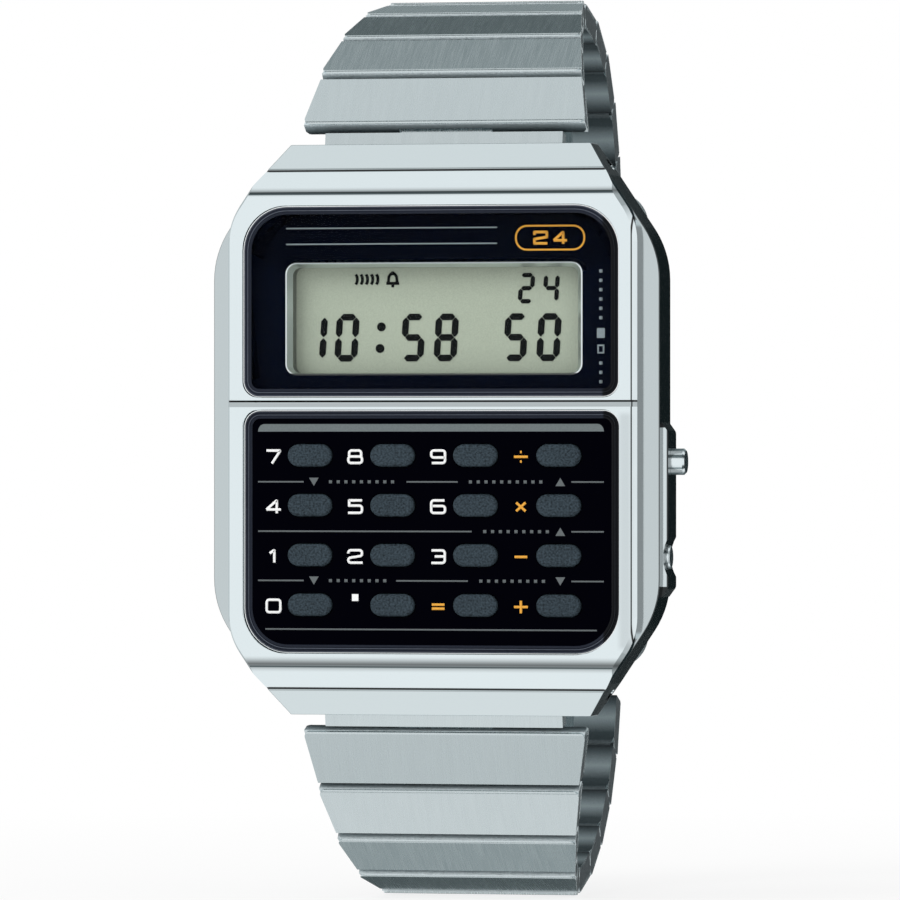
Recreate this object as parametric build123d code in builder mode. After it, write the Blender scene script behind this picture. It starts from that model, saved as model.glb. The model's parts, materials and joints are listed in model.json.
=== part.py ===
from build123d import *
import math
import os

# A wristwatch with a calculator keypad, closed in a loop as it is worn.
# +Z points to 12 o'clock, +X to 3 o'clock, and the dial looks along -Y.
# The origin is the centre of the case back's outer face, which rests on the wrist.
# A height is a distance in front of that face, along -Y.
os.makedirs("parts", exist_ok=True)

# Case outline, seen from the front
case_length = 43.2
case_width = 34.4
case_thickness = 8.2
half_width = case_width / 2
half_length = case_length / 2
case_end_inset = 5.6
case_knee_inset = 3.8
case_knee_drop = 2.5
case_corner_drop = 8.2
case_corner_radius = 7.0
case_end_half_width = half_width - case_end_inset
case_knee = (half_width - case_knee_inset, half_length - case_knee_drop)
case_corner_z = half_length - case_corner_drop

# Case heights
front = case_thickness
back_plate_thickness = 0.9
bezel_thickness = 1.9
tier_height = front - bezel_thickness
case_edge_bevel = 1.0
case_edge_radius = 0.12
tier_end_drop = 1.9
tier_end_z = half_length - tier_end_drop
hood_drop = 1.7
hood_front_height = tier_height - hood_drop
side_wall = 3.7
end_wall = 5.0
cavity_width = case_width - 2 * side_wall
cavity_length = case_length - 2 * end_wall
cavity_radius = 5.0

# Front bezel, a polished frame with two windows
bezel_side_inset = 1.45
bezel_width = case_width - 2 * bezel_side_inset
bezel_corner_radius = 5.0
bezel_wall_height = 1.2
bezel_end_drop = 2.1
bezel_end_z = half_length - bezel_end_drop
bezel_face_drop = 3.75
bezel_face_z = half_length - bezel_face_drop
bezel_side_bevel = 0.25
bezel_face_radius = 0.9
bezel_frame_width = 1.25
window_width = bezel_width - 2 * bezel_frame_width
window_end_inset = 4.7
window_split_z = 1.95
window_split_half = 0.45
display_window_top = half_length - window_end_inset
display_window_bottom = window_split_z + window_split_half
keypad_window_top = window_split_z - window_split_half
keypad_window_bottom = window_end_inset - half_length
window_outer_radius = 3.4
window_inner_radius = 1.25
bezel_groove_width = 0.5
bezel_groove_depth = 0.25
bezel_slot_width = 0.16
bezel_slot_depth = 0.55
bezel_slot_inset = 0.9
bezel_slot_length = window_width - 2 * bezel_slot_inset

# Fits
seat_gap = 0.05
running_gap = 0.03
swing_gap = 0.15
cut_overrun = 2.0
match_tolerance = 0.01

# Display stack
crystal_front_recess = 0.2
crystal_thickness = 1.05
crystal_bevel_width = 0.6
crystal_bevel_depth = 0.2
trim_thickness = 0.35
lcd_side_margin = 3.15
lcd_top_margin = 4.4
lcd_bottom_margin = 1.8
lcd_window_width = window_width - 2 * lcd_side_margin
lcd_window_top = display_window_top - lcd_top_margin
lcd_window_bottom = display_window_bottom + lcd_bottom_margin
lcd_window_radius = 0.75
lcd_front_drop = 3.0
lcd_front_height = front - lcd_front_drop
lcd_thickness = 0.8
lcd_overlap_top = 0.9
lcd_overlap_bottom = 1.2
lcd_width = lcd_window_width + 2 * trim_thickness
lcd_top = lcd_window_top + lcd_overlap_top
lcd_bottom = lcd_window_bottom - lcd_overlap_bottom

# Keypad
panel_front_recess = 0.5
panel_thickness = 0.65
panel_rim_width = 0.8
panel_bevel_width = 0.55
panel_bevel_depth = 0.18
key_left_margin = 3.4245
key_right_margin = 2.9945
key_top_margin = 2.61
key_bottom_margin = 2.839
key_order = (
    ("key_7", "key_8", "key_9", "key_divide"),
    ("key_4", "key_5", "key_6", "key_multiply"),
    ("key_1", "key_2", "key_3", "key_minus"),
    ("key_0", "key_decimal", "key_equals", "key_plus"),
)
key_width = 3.42
key_height = 1.68
key_gaps = len(key_order) - 1
key_column_pitch = (window_width - key_left_margin - key_right_margin - key_width) / key_gaps
key_row_pitch = (
    keypad_window_top - keypad_window_bottom - key_top_margin - key_bottom_margin - key_height
) / key_gaps
key_first_x = key_left_margin + key_width / 2 - window_width / 2
key_first_z = keypad_window_top - key_top_margin - key_height / 2
key_proud = 0.3
key_flange_margin = 0.35
key_flange_thickness = 0.45
key_edge_radius = 0.25
key_gap = 0.07
key_travel = 0.35
membrane_thickness = 0.5
dome_base_radius = 1.35
dome_top_radius = 0.75

# Module: housing, board, battery, buzzer
housing_wall = 1.2
inside_width = cavity_width - 2 * (seat_gap + housing_wall)
inside_length = cavity_length - 2 * (seat_gap + housing_wall)
inside_radius = cavity_radius - seat_gap - housing_wall
housing_back_gap = 0.4
housing_front_gap = 0.1
housing_bottom = back_plate_thickness + housing_back_gap
housing_top = tier_height - housing_front_gap
battery_side_gap = 2.25
battery_diameter = inside_width - 2 * battery_side_gap
battery_thickness = 1.6
shelf_bottom = housing_bottom + battery_thickness
shelf_thickness = 0.3
shelf_lap = 1.5
shelf_slot_width = 16.0
shelf_slot_length = 8.0
housing_bar_width = 0.8
board_thickness = 0.6
board_margin = 0.2
chip_size = 5.0
chip_thickness = 0.45
chip_centre = (-4.5, 8.5)
quartz_length = 5.0
quartz_radius = 0.25
quartz_centre = (5.0, 8.5)
capacitor_length = 1.2
capacitor_width = 0.7
capacitor_pitch = 2.0
capacitor_row = 2.2
connector_width = 0.8
connector_side_inset = 1.2
connector_length = lcd_width - 2 * connector_side_inset
connector_inset = 1.0
battery_step_inset = 1.4
battery_step_radius = battery_diameter / 2 - battery_step_inset
battery_step_height = 0.25
battery_centre = (0.0, -4.5)
clip_thickness = 0.2
clip_width = 4.0
clip_gap = 0.15
buzzer_diameter = 17.0
buzzer_end_gap = 0.65
buzzer_centre = (0.0, cavity_length / 2 - buzzer_diameter / 2 - buzzer_end_gap)
buzzer_thickness = 0.2
buzzer_ceramic_radius = 6.0
buzzer_ceramic_thickness = 0.15
contact_spring_thickness = 0.15
contact_spring_height = 2.0
contact_spring_end_inset = 0.9

# Case back, gasket and screws
back_plate_side_inset = 2.0
back_plate_end_inset = 3.6
back_plate_width = case_width - 2 * back_plate_side_inset
back_plate_length = case_length - 2 * back_plate_end_inset
back_plate_radius = 2.5
back_rim_bevel = 0.3
gasket_width = 0.6
gasket_height = 0.4
gasket_inset = 0.25
screw_inset = 1.75
screw_x = back_plate_width / 2 - screw_inset
screw_z = back_plate_length / 2 - screw_inset
screw_head_radius = 0.9
screw_head_thickness = 0.45
screw_thread_radius = 0.5
screw_length = 2.2
screw_slot_width = 0.25
screw_slot_depth = 0.2

# Push buttons on the 3 o'clock side
button_height = 3.9
mode_button_z = -2.42
mode_button_radius = 1.0
mode_button_proud = 1.07
mode_button_travel = 0.6
mode_button_bevel = 0.15
adjust_button_z = -9.6
adjust_button_radius = 0.9
adjust_button_sunk = 0.06
adjust_button_travel = 0.35
adjust_dome_height = 0.15
button_stem_radius = 0.5
button_recess_depth = 1.2
button_clip_radius = 1.0
button_clip_thickness = 0.25
button_clip_offset = 0.15
button_tail_length = 0.2
guard_proud = 0.52
guard_margin = 2.95
guard_end_margin = 3.0
guard_corner_radius = 0.5
guard_top = mode_button_z + guard_margin
guard_bottom = adjust_button_z - guard_end_margin
guard_half_depth = 1.6
guard_front_height = button_height + guard_half_depth
guard_back_height = button_height - guard_half_depth
guard_end_slope = 0.2
guard_x = half_width + guard_proud
scoop_radius = 3.0
scoop_depth = 0.4

# Bracelet links, each a folded sheet over a connector strip and a pin
link_pitch = 4.45
link_top = 1.1
link_bottom = 0.85
link_nose_reach = 0.95
link_edge_radius = 0.2
link_sheet = 0.3
link_tail_gap = 1.12
link_flange_gap = 1.3
link_first_width = 21.9
link_last_width = 13.9
link_taper_count = 5
link_corner = 0.45
tongue_width = 7.0
fork_width = 2.2
fork_gap = 0.1
strip_thickness = 0.5
strip_body_start = 0.75
strip_body_gap = 1.95
eye_radius = 0.5
link_pin_radius = 0.3
nose_window_top = 0.34
end_link_length = 3.47
end_tube_radius = 1.1
end_link_plate_thickness = 1.3

# Lugs and spring bars
lug_width = 2.15
lug_side_gap = 0.25
lug_gap = 2 * (case_end_half_width - lug_width)
end_link_width = lug_gap - 2 * lug_side_gap
spring_bar_inset = 1.6
spring_bar_z = half_length - spring_bar_inset
spring_bar_height = 2.7
spring_bar_radius = 0.6
spring_bar_tip_radius = 0.4
spring_bar_tip_length = 2.0
lug_hole_radius = 0.45
recess_roof_gap = 0.25
recess_end_gap = 0.4
recess_roof = spring_bar_height + end_tube_radius + recess_roof_gap
recess_start_z = spring_bar_z - end_tube_radius - recess_end_gap

# Direction of each piece from the case outwards, the end link first: 0 degrees runs along Z
# away from the case, 90 degrees runs straight back.
top_angles = (11.7, 36.1, 54.5, 67.3, 79.3, 91.5, 105, 123.4, 143.7, 158.2, 168.5)
bottom_angles = (11.4, 21.8, 38, 56, 73.9, 90.7, 105.6, 119.5, 132.7, 147.8, 162.5)

# Folding clasp, measured along the clasp from its hinge on the 6 o'clock strand
clasp_width = 13.8
clasp_cover_gap = 0.15
clasp_cover_thickness = 0.8
clasp_wall = 1.0
clasp_wall_depth = 2.25
clasp_edge_radius = 0.3
leaf_side_gap = 0.9
leaf_width = clasp_width - 2 * (clasp_wall + leaf_side_gap)
leaf_knuckle_width = 4.0
leaf_knuckle_gap = 0.15
inner_leaf_thickness = 0.55
inner_leaf_top = 0.1
inner_leaf_end = 0.3
middle_leaf_thickness = 0.6
leaf_gap = 0.15
leaf_pin_radius = 0.3
leaf_eye_radius = 0.5
leaf_fork_radius = 0.6
cover_hinge_inset = 1.6
cover_start_gap = 0.2
far_hinge_inset = 2.6
ear_radius = 0.8
ear_hole_radius = 0.4
ear_hole_pitch = 2.2
ear_hole_count = 3
cover_end_inset = 0.3
clasp_bar_gap = 0.12


def save(piece, name):
    piece.part.label = name
    export_step(piece.part, f"parts/{name}.step")


def at_height(height):
    """The plane that faces the viewer at a height in front of the case back."""
    return Plane.XZ.offset(height)


def case_outline(side_half_width, corner_radius, margin=0.0):
    """The case's outline: straight sides, two-step slanting corners, straight ends."""
    slope = (half_width - case_knee[0]) / (case_knee[1] - case_corner_z)
    corner_z = case_corner_z + (half_width - side_half_width) / slope
    quadrant = [
        (side_half_width - margin, corner_z - margin),
        (case_knee[0] - margin, case_knee[1] - margin),
        (case_end_half_width - margin, half_length - margin),
    ]
    right_top = quadrant
    left_top = [(-x, z) for x, z in reversed(quadrant)]
    left_bottom = [(-x, -z) for x, z in quadrant]
    right_bottom = [(x, -z) for x, z in reversed(quadrant)]
    with BuildSketch() as outline:
        with BuildLine():
            Polyline(*right_top, *left_top, *left_bottom, *right_bottom, close=True)
        make_face()
        sides = [
            v for v in outline.vertices()
            if abs(abs(v.X) - side_half_width + margin) < match_tolerance
        ]
        fillet(sides, corner_radius)
    return outline.sketch


def window_outline(top, bottom, top_radius, bottom_radius, margin=0.0):
    """A window with its own radius for the top and the bottom corners."""
    middle = (top + bottom) / 2
    with BuildSketch() as outline:
        with Locations((0, middle)):
            Rectangle(window_width - 2 * margin, top - bottom - 2 * margin)
        fillet([v for v in outline.vertices() if v.Y > middle], top_radius - margin)
        fillet([v for v in outline.vertices() if v.Y < middle], bottom_radius - margin)
    return outline.sketch


def display_window(margin=0.0):
    return window_outline(
        display_window_top, display_window_bottom, window_outer_radius, window_inner_radius, margin
    )


def keypad_window(margin=0.0):
    return window_outline(
        keypad_window_top, keypad_window_bottom, window_inner_radius, window_outer_radius, margin
    )


# Case body: the middle case with its lug hoods, button guard and module cavity
with BuildPart() as case_body:
    with BuildSketch(at_height(back_plate_thickness)):
        add(case_outline(half_width, case_corner_radius))
    extrude(amount=tier_height - back_plate_thickness)
    back_edges = case_body.faces().sort_by(Axis.Y)[-1].edges()
    chamfer(back_edges, case_edge_bevel)
    # Sloping hoods over the spring bars
    for end in (1, -1):
        with BuildSketch(Plane.YZ):
            with BuildLine():
                Polyline(
                    (-tier_height, end * tier_end_z),
                    (-hood_front_height, end * half_length),
                    (-hood_front_height, end * (half_length + cut_overrun)),
                    (-tier_height - cut_overrun, end * (half_length + cut_overrun)),
                    (-tier_height - cut_overrun, end * tier_end_z),
                    close=True,
                )
            make_face()
        extrude(amount=case_width, both=True, mode=Mode.SUBTRACT)
    fillet(case_body.edges().filter_by(lambda e: e.center().Y < -case_edge_bevel), case_edge_radius)
    # Guard bar beside the buttons
    with BuildSketch(at_height(guard_back_height)) as guard:
        with BuildLine():
            Polyline(
                (half_width - guard_proud, guard_top),
                (half_width, guard_top),
                (guard_x, guard_top - guard_proud - guard_end_slope),
                (guard_x, guard_bottom + guard_proud + guard_end_slope),
                (half_width, guard_bottom),
                (half_width - guard_proud, guard_bottom),
                close=True,
            )
        make_face()
        corners = [v for v in guard.vertices() if v.X > half_width + guard_proud / 2]
        fillet(corners, guard_corner_radius)
    extrude(amount=guard_front_height - guard_back_height)
    # Module cavity and the seat of the case back
    with BuildSketch(at_height(0)):
        RectangleRounded(cavity_width, cavity_length, cavity_radius)
    extrude(amount=case_thickness, mode=Mode.SUBTRACT)
    # Recesses for the bracelet's end links, open to the back
    for end in (1, -1):
        with BuildSketch(at_height(0)):
            with Locations((0, end * (recess_start_z + half_length + cut_overrun) / 2)):
                Rectangle(lug_gap, half_length + cut_overrun - recess_start_z)
        extrude(amount=recess_roof, mode=Mode.SUBTRACT)
        # Spring bar holes, drilled right through the lugs
        with BuildSketch(Plane.YZ):
            with Locations((-spring_bar_height, end * spring_bar_z)):
                Circle(lug_hole_radius)
        extrude(amount=case_width, both=True, mode=Mode.SUBTRACT)
    # Button bores: a wide recess for the cap and a narrow one for the stem
    for z, radius in ((mode_button_z, mode_button_radius), (adjust_button_z, adjust_button_radius)):
        with BuildSketch(Plane.YZ.offset(guard_x - guard_proud - button_recess_depth)):
            with Locations((-button_height, z)):
                Circle(radius + running_gap)
        extrude(amount=button_recess_depth + cut_overrun, mode=Mode.SUBTRACT)
        with BuildSketch(Plane.YZ):
            with Locations((-button_height, z)):
                Circle(button_stem_radius + running_gap)
        extrude(amount=case_width, mode=Mode.SUBTRACT)
    # Scooped notch round the recessed button
    with BuildSketch(at_height(guard_back_height - cut_overrun)):
        with Locations((guard_x + scoop_radius - scoop_depth, adjust_button_z)):
            Circle(scoop_radius)
    extrude(amount=guard_front_height - guard_back_height + 2 * cut_overrun, mode=Mode.SUBTRACT)
    # Threaded holes for the case back screws
    with BuildSketch(at_height(0)):
        with GridLocations(2 * screw_x, 2 * screw_z, 2, 2):
            Circle(screw_thread_radius)
    extrude(amount=screw_length + seat_gap, mode=Mode.SUBTRACT)
save(case_body, "case_body")

# Front bezel: straight wall, steep bevel, two sloping ends and two windows
bevel_rise = bezel_thickness - bezel_wall_height
with BuildPart() as front_bezel:
    with BuildSketch(at_height(tier_height)):
        add(case_outline(bezel_width / 2, bezel_corner_radius))
    extrude(amount=bezel_wall_height)
    with BuildSketch(at_height(tier_height + bezel_wall_height)):
        add(case_outline(bezel_width / 2, bezel_corner_radius))
    extrude(amount=bevel_rise, taper=math.degrees(math.atan(bezel_side_bevel / bevel_rise)))
    for end in (1, -1):
        with BuildSketch(Plane.YZ):
            with BuildLine():
                Polyline(
                    (-tier_height, end * bezel_end_z),
                    (-front, end * bezel_face_z),
                    (-front - cut_overrun, end * bezel_face_z),
                    (-front - cut_overrun, end * (half_length + cut_overrun)),
                    (-tier_height + cut_overrun, end * (half_length + cut_overrun)),
                    (-tier_height + cut_overrun, end * bezel_end_z),
                    close=True,
                )
            make_face()
        extrude(amount=case_width, both=True, mode=Mode.SUBTRACT)
    end_edges = [
        e for e in front_bezel.edges().filter_by(Axis.X)
        if abs(e.center().Y + front) < match_tolerance
        and abs(abs(e.center().Z) - bezel_face_z) < match_tolerance
    ]
    fillet(end_edges, bezel_face_radius)
    with BuildSketch(at_height(tier_height)):
        add(display_window())
        add(keypad_window())
    extrude(amount=front - tier_height, mode=Mode.SUBTRACT)
    with BuildSketch(at_height(front - bezel_groove_depth)):
        with Locations((0, window_split_z)):
            Rectangle(case_width, bezel_groove_width)
    extrude(amount=bezel_groove_depth + cut_overrun, mode=Mode.SUBTRACT)
    with BuildSketch(at_height(front - bezel_slot_depth)):
        with Locations((0, window_split_z + bezel_groove_width / 2 - bezel_slot_width / 2)):
            Rectangle(bezel_slot_length, bezel_slot_width)
    extrude(amount=bezel_slot_depth, mode=Mode.SUBTRACT)
save(front_bezel, "front_bezel")

# Display crystal with a bevelled edge
crystal_front = front - crystal_front_recess
crystal_back = crystal_front - crystal_thickness
bevel_taper = math.degrees(math.atan(crystal_bevel_width / crystal_bevel_depth))
with BuildPart() as display_crystal:
    with BuildSketch(at_height(crystal_back)):
        add(display_window(seat_gap))
    extrude(amount=crystal_thickness - crystal_bevel_depth)
    with BuildSketch(at_height(crystal_front - crystal_bevel_depth)):
        add(display_window(seat_gap))
    extrude(amount=crystal_bevel_depth, taper=bevel_taper)
save(display_crystal, "display_crystal")


def lcd_window(margin=0.0):
    """The opening over the liquid crystal panel, grown by a margin."""
    with BuildSketch() as outline:
        with Locations((0, (lcd_window_top + lcd_window_bottom) / 2)):
            RectangleRounded(
                lcd_window_width + 2 * margin,
                lcd_window_top - lcd_window_bottom + 2 * margin,
                lcd_window_radius + margin,
            )
    return outline.sketch


# Display mask: a black plate, and a bright frame that lines its window down to the panel
mask_back = tier_height
with BuildPart() as display_mask:
    with BuildSketch(at_height(mask_back)):
        add(display_window(seat_gap))
        add(lcd_window(trim_thickness), mode=Mode.SUBTRACT)
    extrude(amount=crystal_back - mask_back)
    with BuildSketch(at_height(lcd_front_height)):
        add(lcd_window(trim_thickness))
        add(lcd_window(), mode=Mode.SUBTRACT)
    extrude(amount=crystal_back - lcd_front_height)
save(display_mask, "display_mask")

# Liquid crystal panel: two glasses, the front one longer for its contacts
lcd_back = lcd_front_height - lcd_thickness
lcd_middle = (lcd_top + lcd_bottom) / 2
lcd_length = lcd_top - lcd_bottom
with BuildPart() as lcd_panel:
    with BuildSketch(at_height(lcd_back)):
        with Locations((0, lcd_middle)):
            Rectangle(lcd_width, lcd_length - 2 * connector_inset)
    extrude(amount=lcd_thickness / 2)
    with BuildSketch(at_height(lcd_back + lcd_thickness / 2)):
        with Locations((0, lcd_middle)):
            Rectangle(lcd_width, lcd_length)
    extrude(amount=lcd_thickness / 2)
save(lcd_panel, "lcd_panel")

# Two rubber connector strips that join the board to the panel's contacts
board_bottom = shelf_bottom + shelf_thickness
board_top = board_bottom + board_thickness
connector_z = lcd_length / 2 - connector_width / 2 - seat_gap
with BuildPart() as lcd_connectors:
    with BuildSketch(at_height(board_top)):
        with Locations((0, lcd_middle + connector_z), (0, lcd_middle - connector_z)):
            Rectangle(connector_length, connector_width)
    extrude(amount=lcd_back + lcd_thickness / 2 - board_top)
save(lcd_connectors, "lcd_connectors")

# Keypad panel: a plate with a slot for each key and a rim that stands on the case
panel_front = front - panel_front_recess
panel_back = panel_front - panel_thickness
panel_taper = math.degrees(math.atan(panel_bevel_width / panel_bevel_depth))
key_columns = [key_first_x + step * key_column_pitch for step in range(key_gaps + 1)]
key_rows = [key_first_z - step * key_row_pitch for step in range(key_gaps + 1)]
key_places = [(x, z) for z in key_rows for x in key_columns]
with BuildPart() as keypad_panel:
    with BuildSketch(at_height(panel_back)):
        add(keypad_window(seat_gap))
    extrude(amount=panel_thickness - panel_bevel_depth)
    with BuildSketch(at_height(panel_front - panel_bevel_depth)):
        add(keypad_window(seat_gap))
    extrude(amount=panel_bevel_depth, taper=panel_taper)
    with BuildSketch(at_height(tier_height)):
        add(keypad_window(seat_gap))
        add(keypad_window(seat_gap + panel_rim_width), mode=Mode.SUBTRACT)
    extrude(amount=panel_back - tier_height)
    with BuildSketch(at_height(panel_back)):
        with Locations(*key_places):
            SlotOverall(key_width + 2 * key_gap, key_height + 2 * key_gap)
    extrude(amount=panel_thickness, mode=Mode.SUBTRACT)
save(keypad_panel, "keypad_panel")

# Keys: each cap stands through its slot and is kept in by a flange behind the panel
key_flange_back = panel_back - seat_gap - key_flange_thickness
for names, z in zip(key_order, key_rows):
    for name, x in zip(names, key_columns):
        with BuildPart() as key:
            with BuildSketch(at_height(key_flange_back)):
                with Locations((x, z)):
                    Rectangle(key_width + 2 * key_flange_margin, key_height + 2 * key_flange_margin)
            extrude(amount=key_flange_thickness)
            with BuildSketch(at_height(key_flange_back)):
                with Locations((x, z)):
                    SlotOverall(key_width, key_height)
            extrude(amount=panel_front + key_proud - key_flange_back)
            fillet(key.faces().sort_by(Axis.Y)[0].edges(), key_edge_radius)
        save(key, name)

# Rubber membrane with one dome under each key
dome_top = key_flange_back - key_travel - seat_gap / 2
dome_bottom = board_top + membrane_thickness
membrane_top = window_split_z - housing_bar_width / 2 - seat_gap
membrane_bottom = -(inside_length / 2 - seat_gap)
with BuildPart() as keypad_membrane:
    with BuildSketch(at_height(board_top)):
        with Locations((0, (membrane_top + membrane_bottom) / 2)):
            RectangleRounded(
                inside_width - 2 * (board_margin + seat_gap),
                membrane_top - membrane_bottom,
                inside_radius,
            )
    extrude(amount=membrane_thickness)
    for x, z in key_places:
        with Locations(Location((x, -dome_bottom, z), (90, 0, 0))):
            Cone(
                dome_base_radius,
                dome_top_radius,
                dome_top - dome_bottom,
                align=(Align.CENTER, Align.CENTER, Align.MIN),
            )
save(keypad_membrane, "keypad_membrane")

# Module housing: a plastic frame with a shelf for the board
housing_width = cavity_width - 2 * seat_gap
housing_length = cavity_length - 2 * seat_gap
with BuildPart() as module_housing:
    with BuildSketch(at_height(housing_bottom)):
        RectangleRounded(housing_width, housing_length, cavity_radius - seat_gap)
        RectangleRounded(inside_width, inside_length, inside_radius, mode=Mode.SUBTRACT)
    extrude(amount=housing_top - housing_bottom)
    with BuildSketch(at_height(shelf_bottom)):
        RectangleRounded(inside_width, inside_length, inside_radius)
        with Locations(battery_centre):
            Circle(battery_diameter / 2 - shelf_lap, mode=Mode.SUBTRACT)
        with Locations((0, chip_centre[1])):
            Rectangle(shelf_slot_width, shelf_slot_length, mode=Mode.SUBTRACT)
    extrude(amount=shelf_thickness)
    with BuildSketch(at_height(board_top)):
        with Locations((0, window_split_z)):
            Rectangle(inside_width, housing_bar_width)
    extrude(amount=housing_top - board_top)
    # Opening in the side wall for the two buttons
    with BuildSketch(at_height(board_bottom)):
        with Locations((cavity_width / 2, (guard_top + guard_bottom) / 2)):
            Rectangle(2 * housing_wall + 4 * seat_gap, guard_top - guard_bottom)
    extrude(amount=housing_top - board_bottom, mode=Mode.SUBTRACT)
    for z in (mode_button_z, adjust_button_z):
        with BuildSketch(Plane.YZ.offset(inside_width / 2 - cut_overrun)):
            with Locations((-button_height, z)):
                Circle(button_clip_radius + swing_gap)
        extrude(amount=2 * cut_overrun, mode=Mode.SUBTRACT)
save(module_housing, "module_housing")

# Circuit board with its chip, quartz can, capacitors and button contact springs
board_width = inside_width - 2 * board_margin
contact_spring_x = (board_width + contact_spring_thickness) / 2
contact_spring_top = guard_top - contact_spring_end_inset
contact_spring_bottom = guard_bottom + contact_spring_end_inset
with BuildPart() as circuit_board:
    with BuildSketch(at_height(board_bottom)):
        RectangleRounded(
            board_width,
            inside_length - 2 * board_margin,
            inside_radius - board_margin,
        )
    extrude(amount=board_thickness)
    with BuildSketch(at_height(board_bottom)):
        with Locations(chip_centre):
            Rectangle(chip_size, chip_size)
        with Locations(quartz_centre):
            Rectangle(quartz_length, 2 * quartz_radius)
        with Locations(*[(quartz_centre[0] + step * capacitor_pitch, chip_centre[1] + capacitor_row)
                         for step in (-1, 0, 1)]):
            Rectangle(capacitor_length, capacitor_width)
    extrude(amount=-chip_thickness)
    with BuildSketch(at_height(board_bottom)):
        with Locations((contact_spring_x, (contact_spring_top + contact_spring_bottom) / 2)):
            Rectangle(contact_spring_thickness, contact_spring_top - contact_spring_bottom)
    extrude(amount=contact_spring_height)
save(circuit_board, "circuit_board")

# Coin battery and the strap that holds it
battery_front = shelf_bottom
battery_back = battery_front - battery_thickness
with BuildPart() as battery:
    with BuildSketch(at_height(battery_back)):
        with Locations(battery_centre):
            Circle(battery_diameter / 2)
    extrude(amount=battery_thickness - battery_step_height)
    with BuildSketch(at_height(battery_front - battery_step_height)):
        with Locations(battery_centre):
            Circle(battery_step_radius)
    extrude(amount=battery_step_height)
save(battery, "battery")

clip_back = battery_back - seat_gap - clip_thickness
clip_leg_x = battery_diameter / 2 + clip_gap + clip_thickness / 2
with BuildPart() as battery_clip:
    with BuildSketch(at_height(clip_back)):
        with Locations(battery_centre):
            Rectangle(2 * clip_leg_x + clip_thickness, clip_width)
    extrude(amount=clip_thickness)
    with BuildSketch(at_height(clip_back)):
        with Locations((-clip_leg_x, battery_centre[1]), (clip_leg_x, battery_centre[1])):
            Rectangle(clip_thickness, clip_width)
    extrude(amount=shelf_bottom - clip_back)
save(battery_clip, "battery_clip")

# Piezo buzzer disc on the inside of the case back
with BuildPart() as buzzer_disc:
    with BuildSketch(at_height(back_plate_thickness)):
        with Locations(buzzer_centre):
            Circle(buzzer_diameter / 2)
    extrude(amount=buzzer_thickness)
    with BuildSketch(at_height(back_plate_thickness + buzzer_thickness)):
        with Locations(buzzer_centre):
            Circle(buzzer_ceramic_radius)
    extrude(amount=buzzer_ceramic_thickness)
save(buzzer_disc, "buzzer_disc")


def gasket_ring():
    """The ring that the gasket and its groove follow, just outside the cavity."""
    outer = gasket_inset + gasket_width
    with BuildSketch() as ring:
        RectangleRounded(cavity_width + 2 * outer, cavity_length + 2 * outer, cavity_radius + outer)
        RectangleRounded(
            cavity_width + 2 * gasket_inset,
            cavity_length + 2 * gasket_inset,
            cavity_radius + gasket_inset,
            mode=Mode.SUBTRACT,
        )
    return ring.sketch


# Case back with its gasket groove and countersunk screw holes
with BuildPart() as case_back:
    with BuildSketch(at_height(0)):
        RectangleRounded(back_plate_width, back_plate_length, back_plate_radius)
    extrude(amount=back_plate_thickness)
    chamfer(case_back.faces().sort_by(Axis.Y)[-1].edges(), back_rim_bevel)
    with BuildSketch(at_height(back_plate_thickness - gasket_height)):
        add(gasket_ring())
    extrude(amount=gasket_height, mode=Mode.SUBTRACT)
    with BuildSketch(at_height(0)):
        with GridLocations(2 * screw_x, 2 * screw_z, 2, 2):
            Circle(screw_head_radius + seat_gap)
    extrude(amount=screw_head_thickness, mode=Mode.SUBTRACT)
    with BuildSketch(at_height(0)):
        with GridLocations(2 * screw_x, 2 * screw_z, 2, 2):
            Circle(screw_thread_radius + seat_gap)
    extrude(amount=back_plate_thickness, mode=Mode.SUBTRACT)
save(case_back, "case_back")

with BuildPart() as case_back_gasket:
    with BuildSketch(at_height(back_plate_thickness - gasket_height)):
        add(gasket_ring())
    extrude(amount=gasket_height)
save(case_back_gasket, "case_back_gasket")

# Four slotted screws
with BuildPart() as case_back_screws:
    with BuildSketch(at_height(0)):
        with GridLocations(2 * screw_x, 2 * screw_z, 2, 2):
            Circle(screw_head_radius)
    extrude(amount=screw_head_thickness)
    with BuildSketch(at_height(0)):
        with GridLocations(2 * screw_x, 2 * screw_z, 2, 2):
            Circle(screw_thread_radius)
    extrude(amount=screw_length)
    with BuildSketch(at_height(0)):
        with GridLocations(2 * screw_x, 2 * screw_z, 2, 2):
            Rectangle(2 * screw_head_radius, screw_slot_width)
    extrude(amount=screw_slot_depth, mode=Mode.SUBTRACT)
save(case_back_screws, "case_back_screws")

# Spring bars across the lugs
with BuildPart() as spring_bars:
    for end in (1, -1):
        for radius, reach in (
            (spring_bar_radius, lug_gap / 2 - running_gap),
            (spring_bar_tip_radius, lug_gap / 2 + spring_bar_tip_length),
        ):
            with BuildSketch(Plane.YZ):
                with Locations((-spring_bar_height, end * spring_bar_z)):
                    Circle(radius)
            extrude(amount=reach, both=True)
save(spring_bars, "spring_bars")


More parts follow.
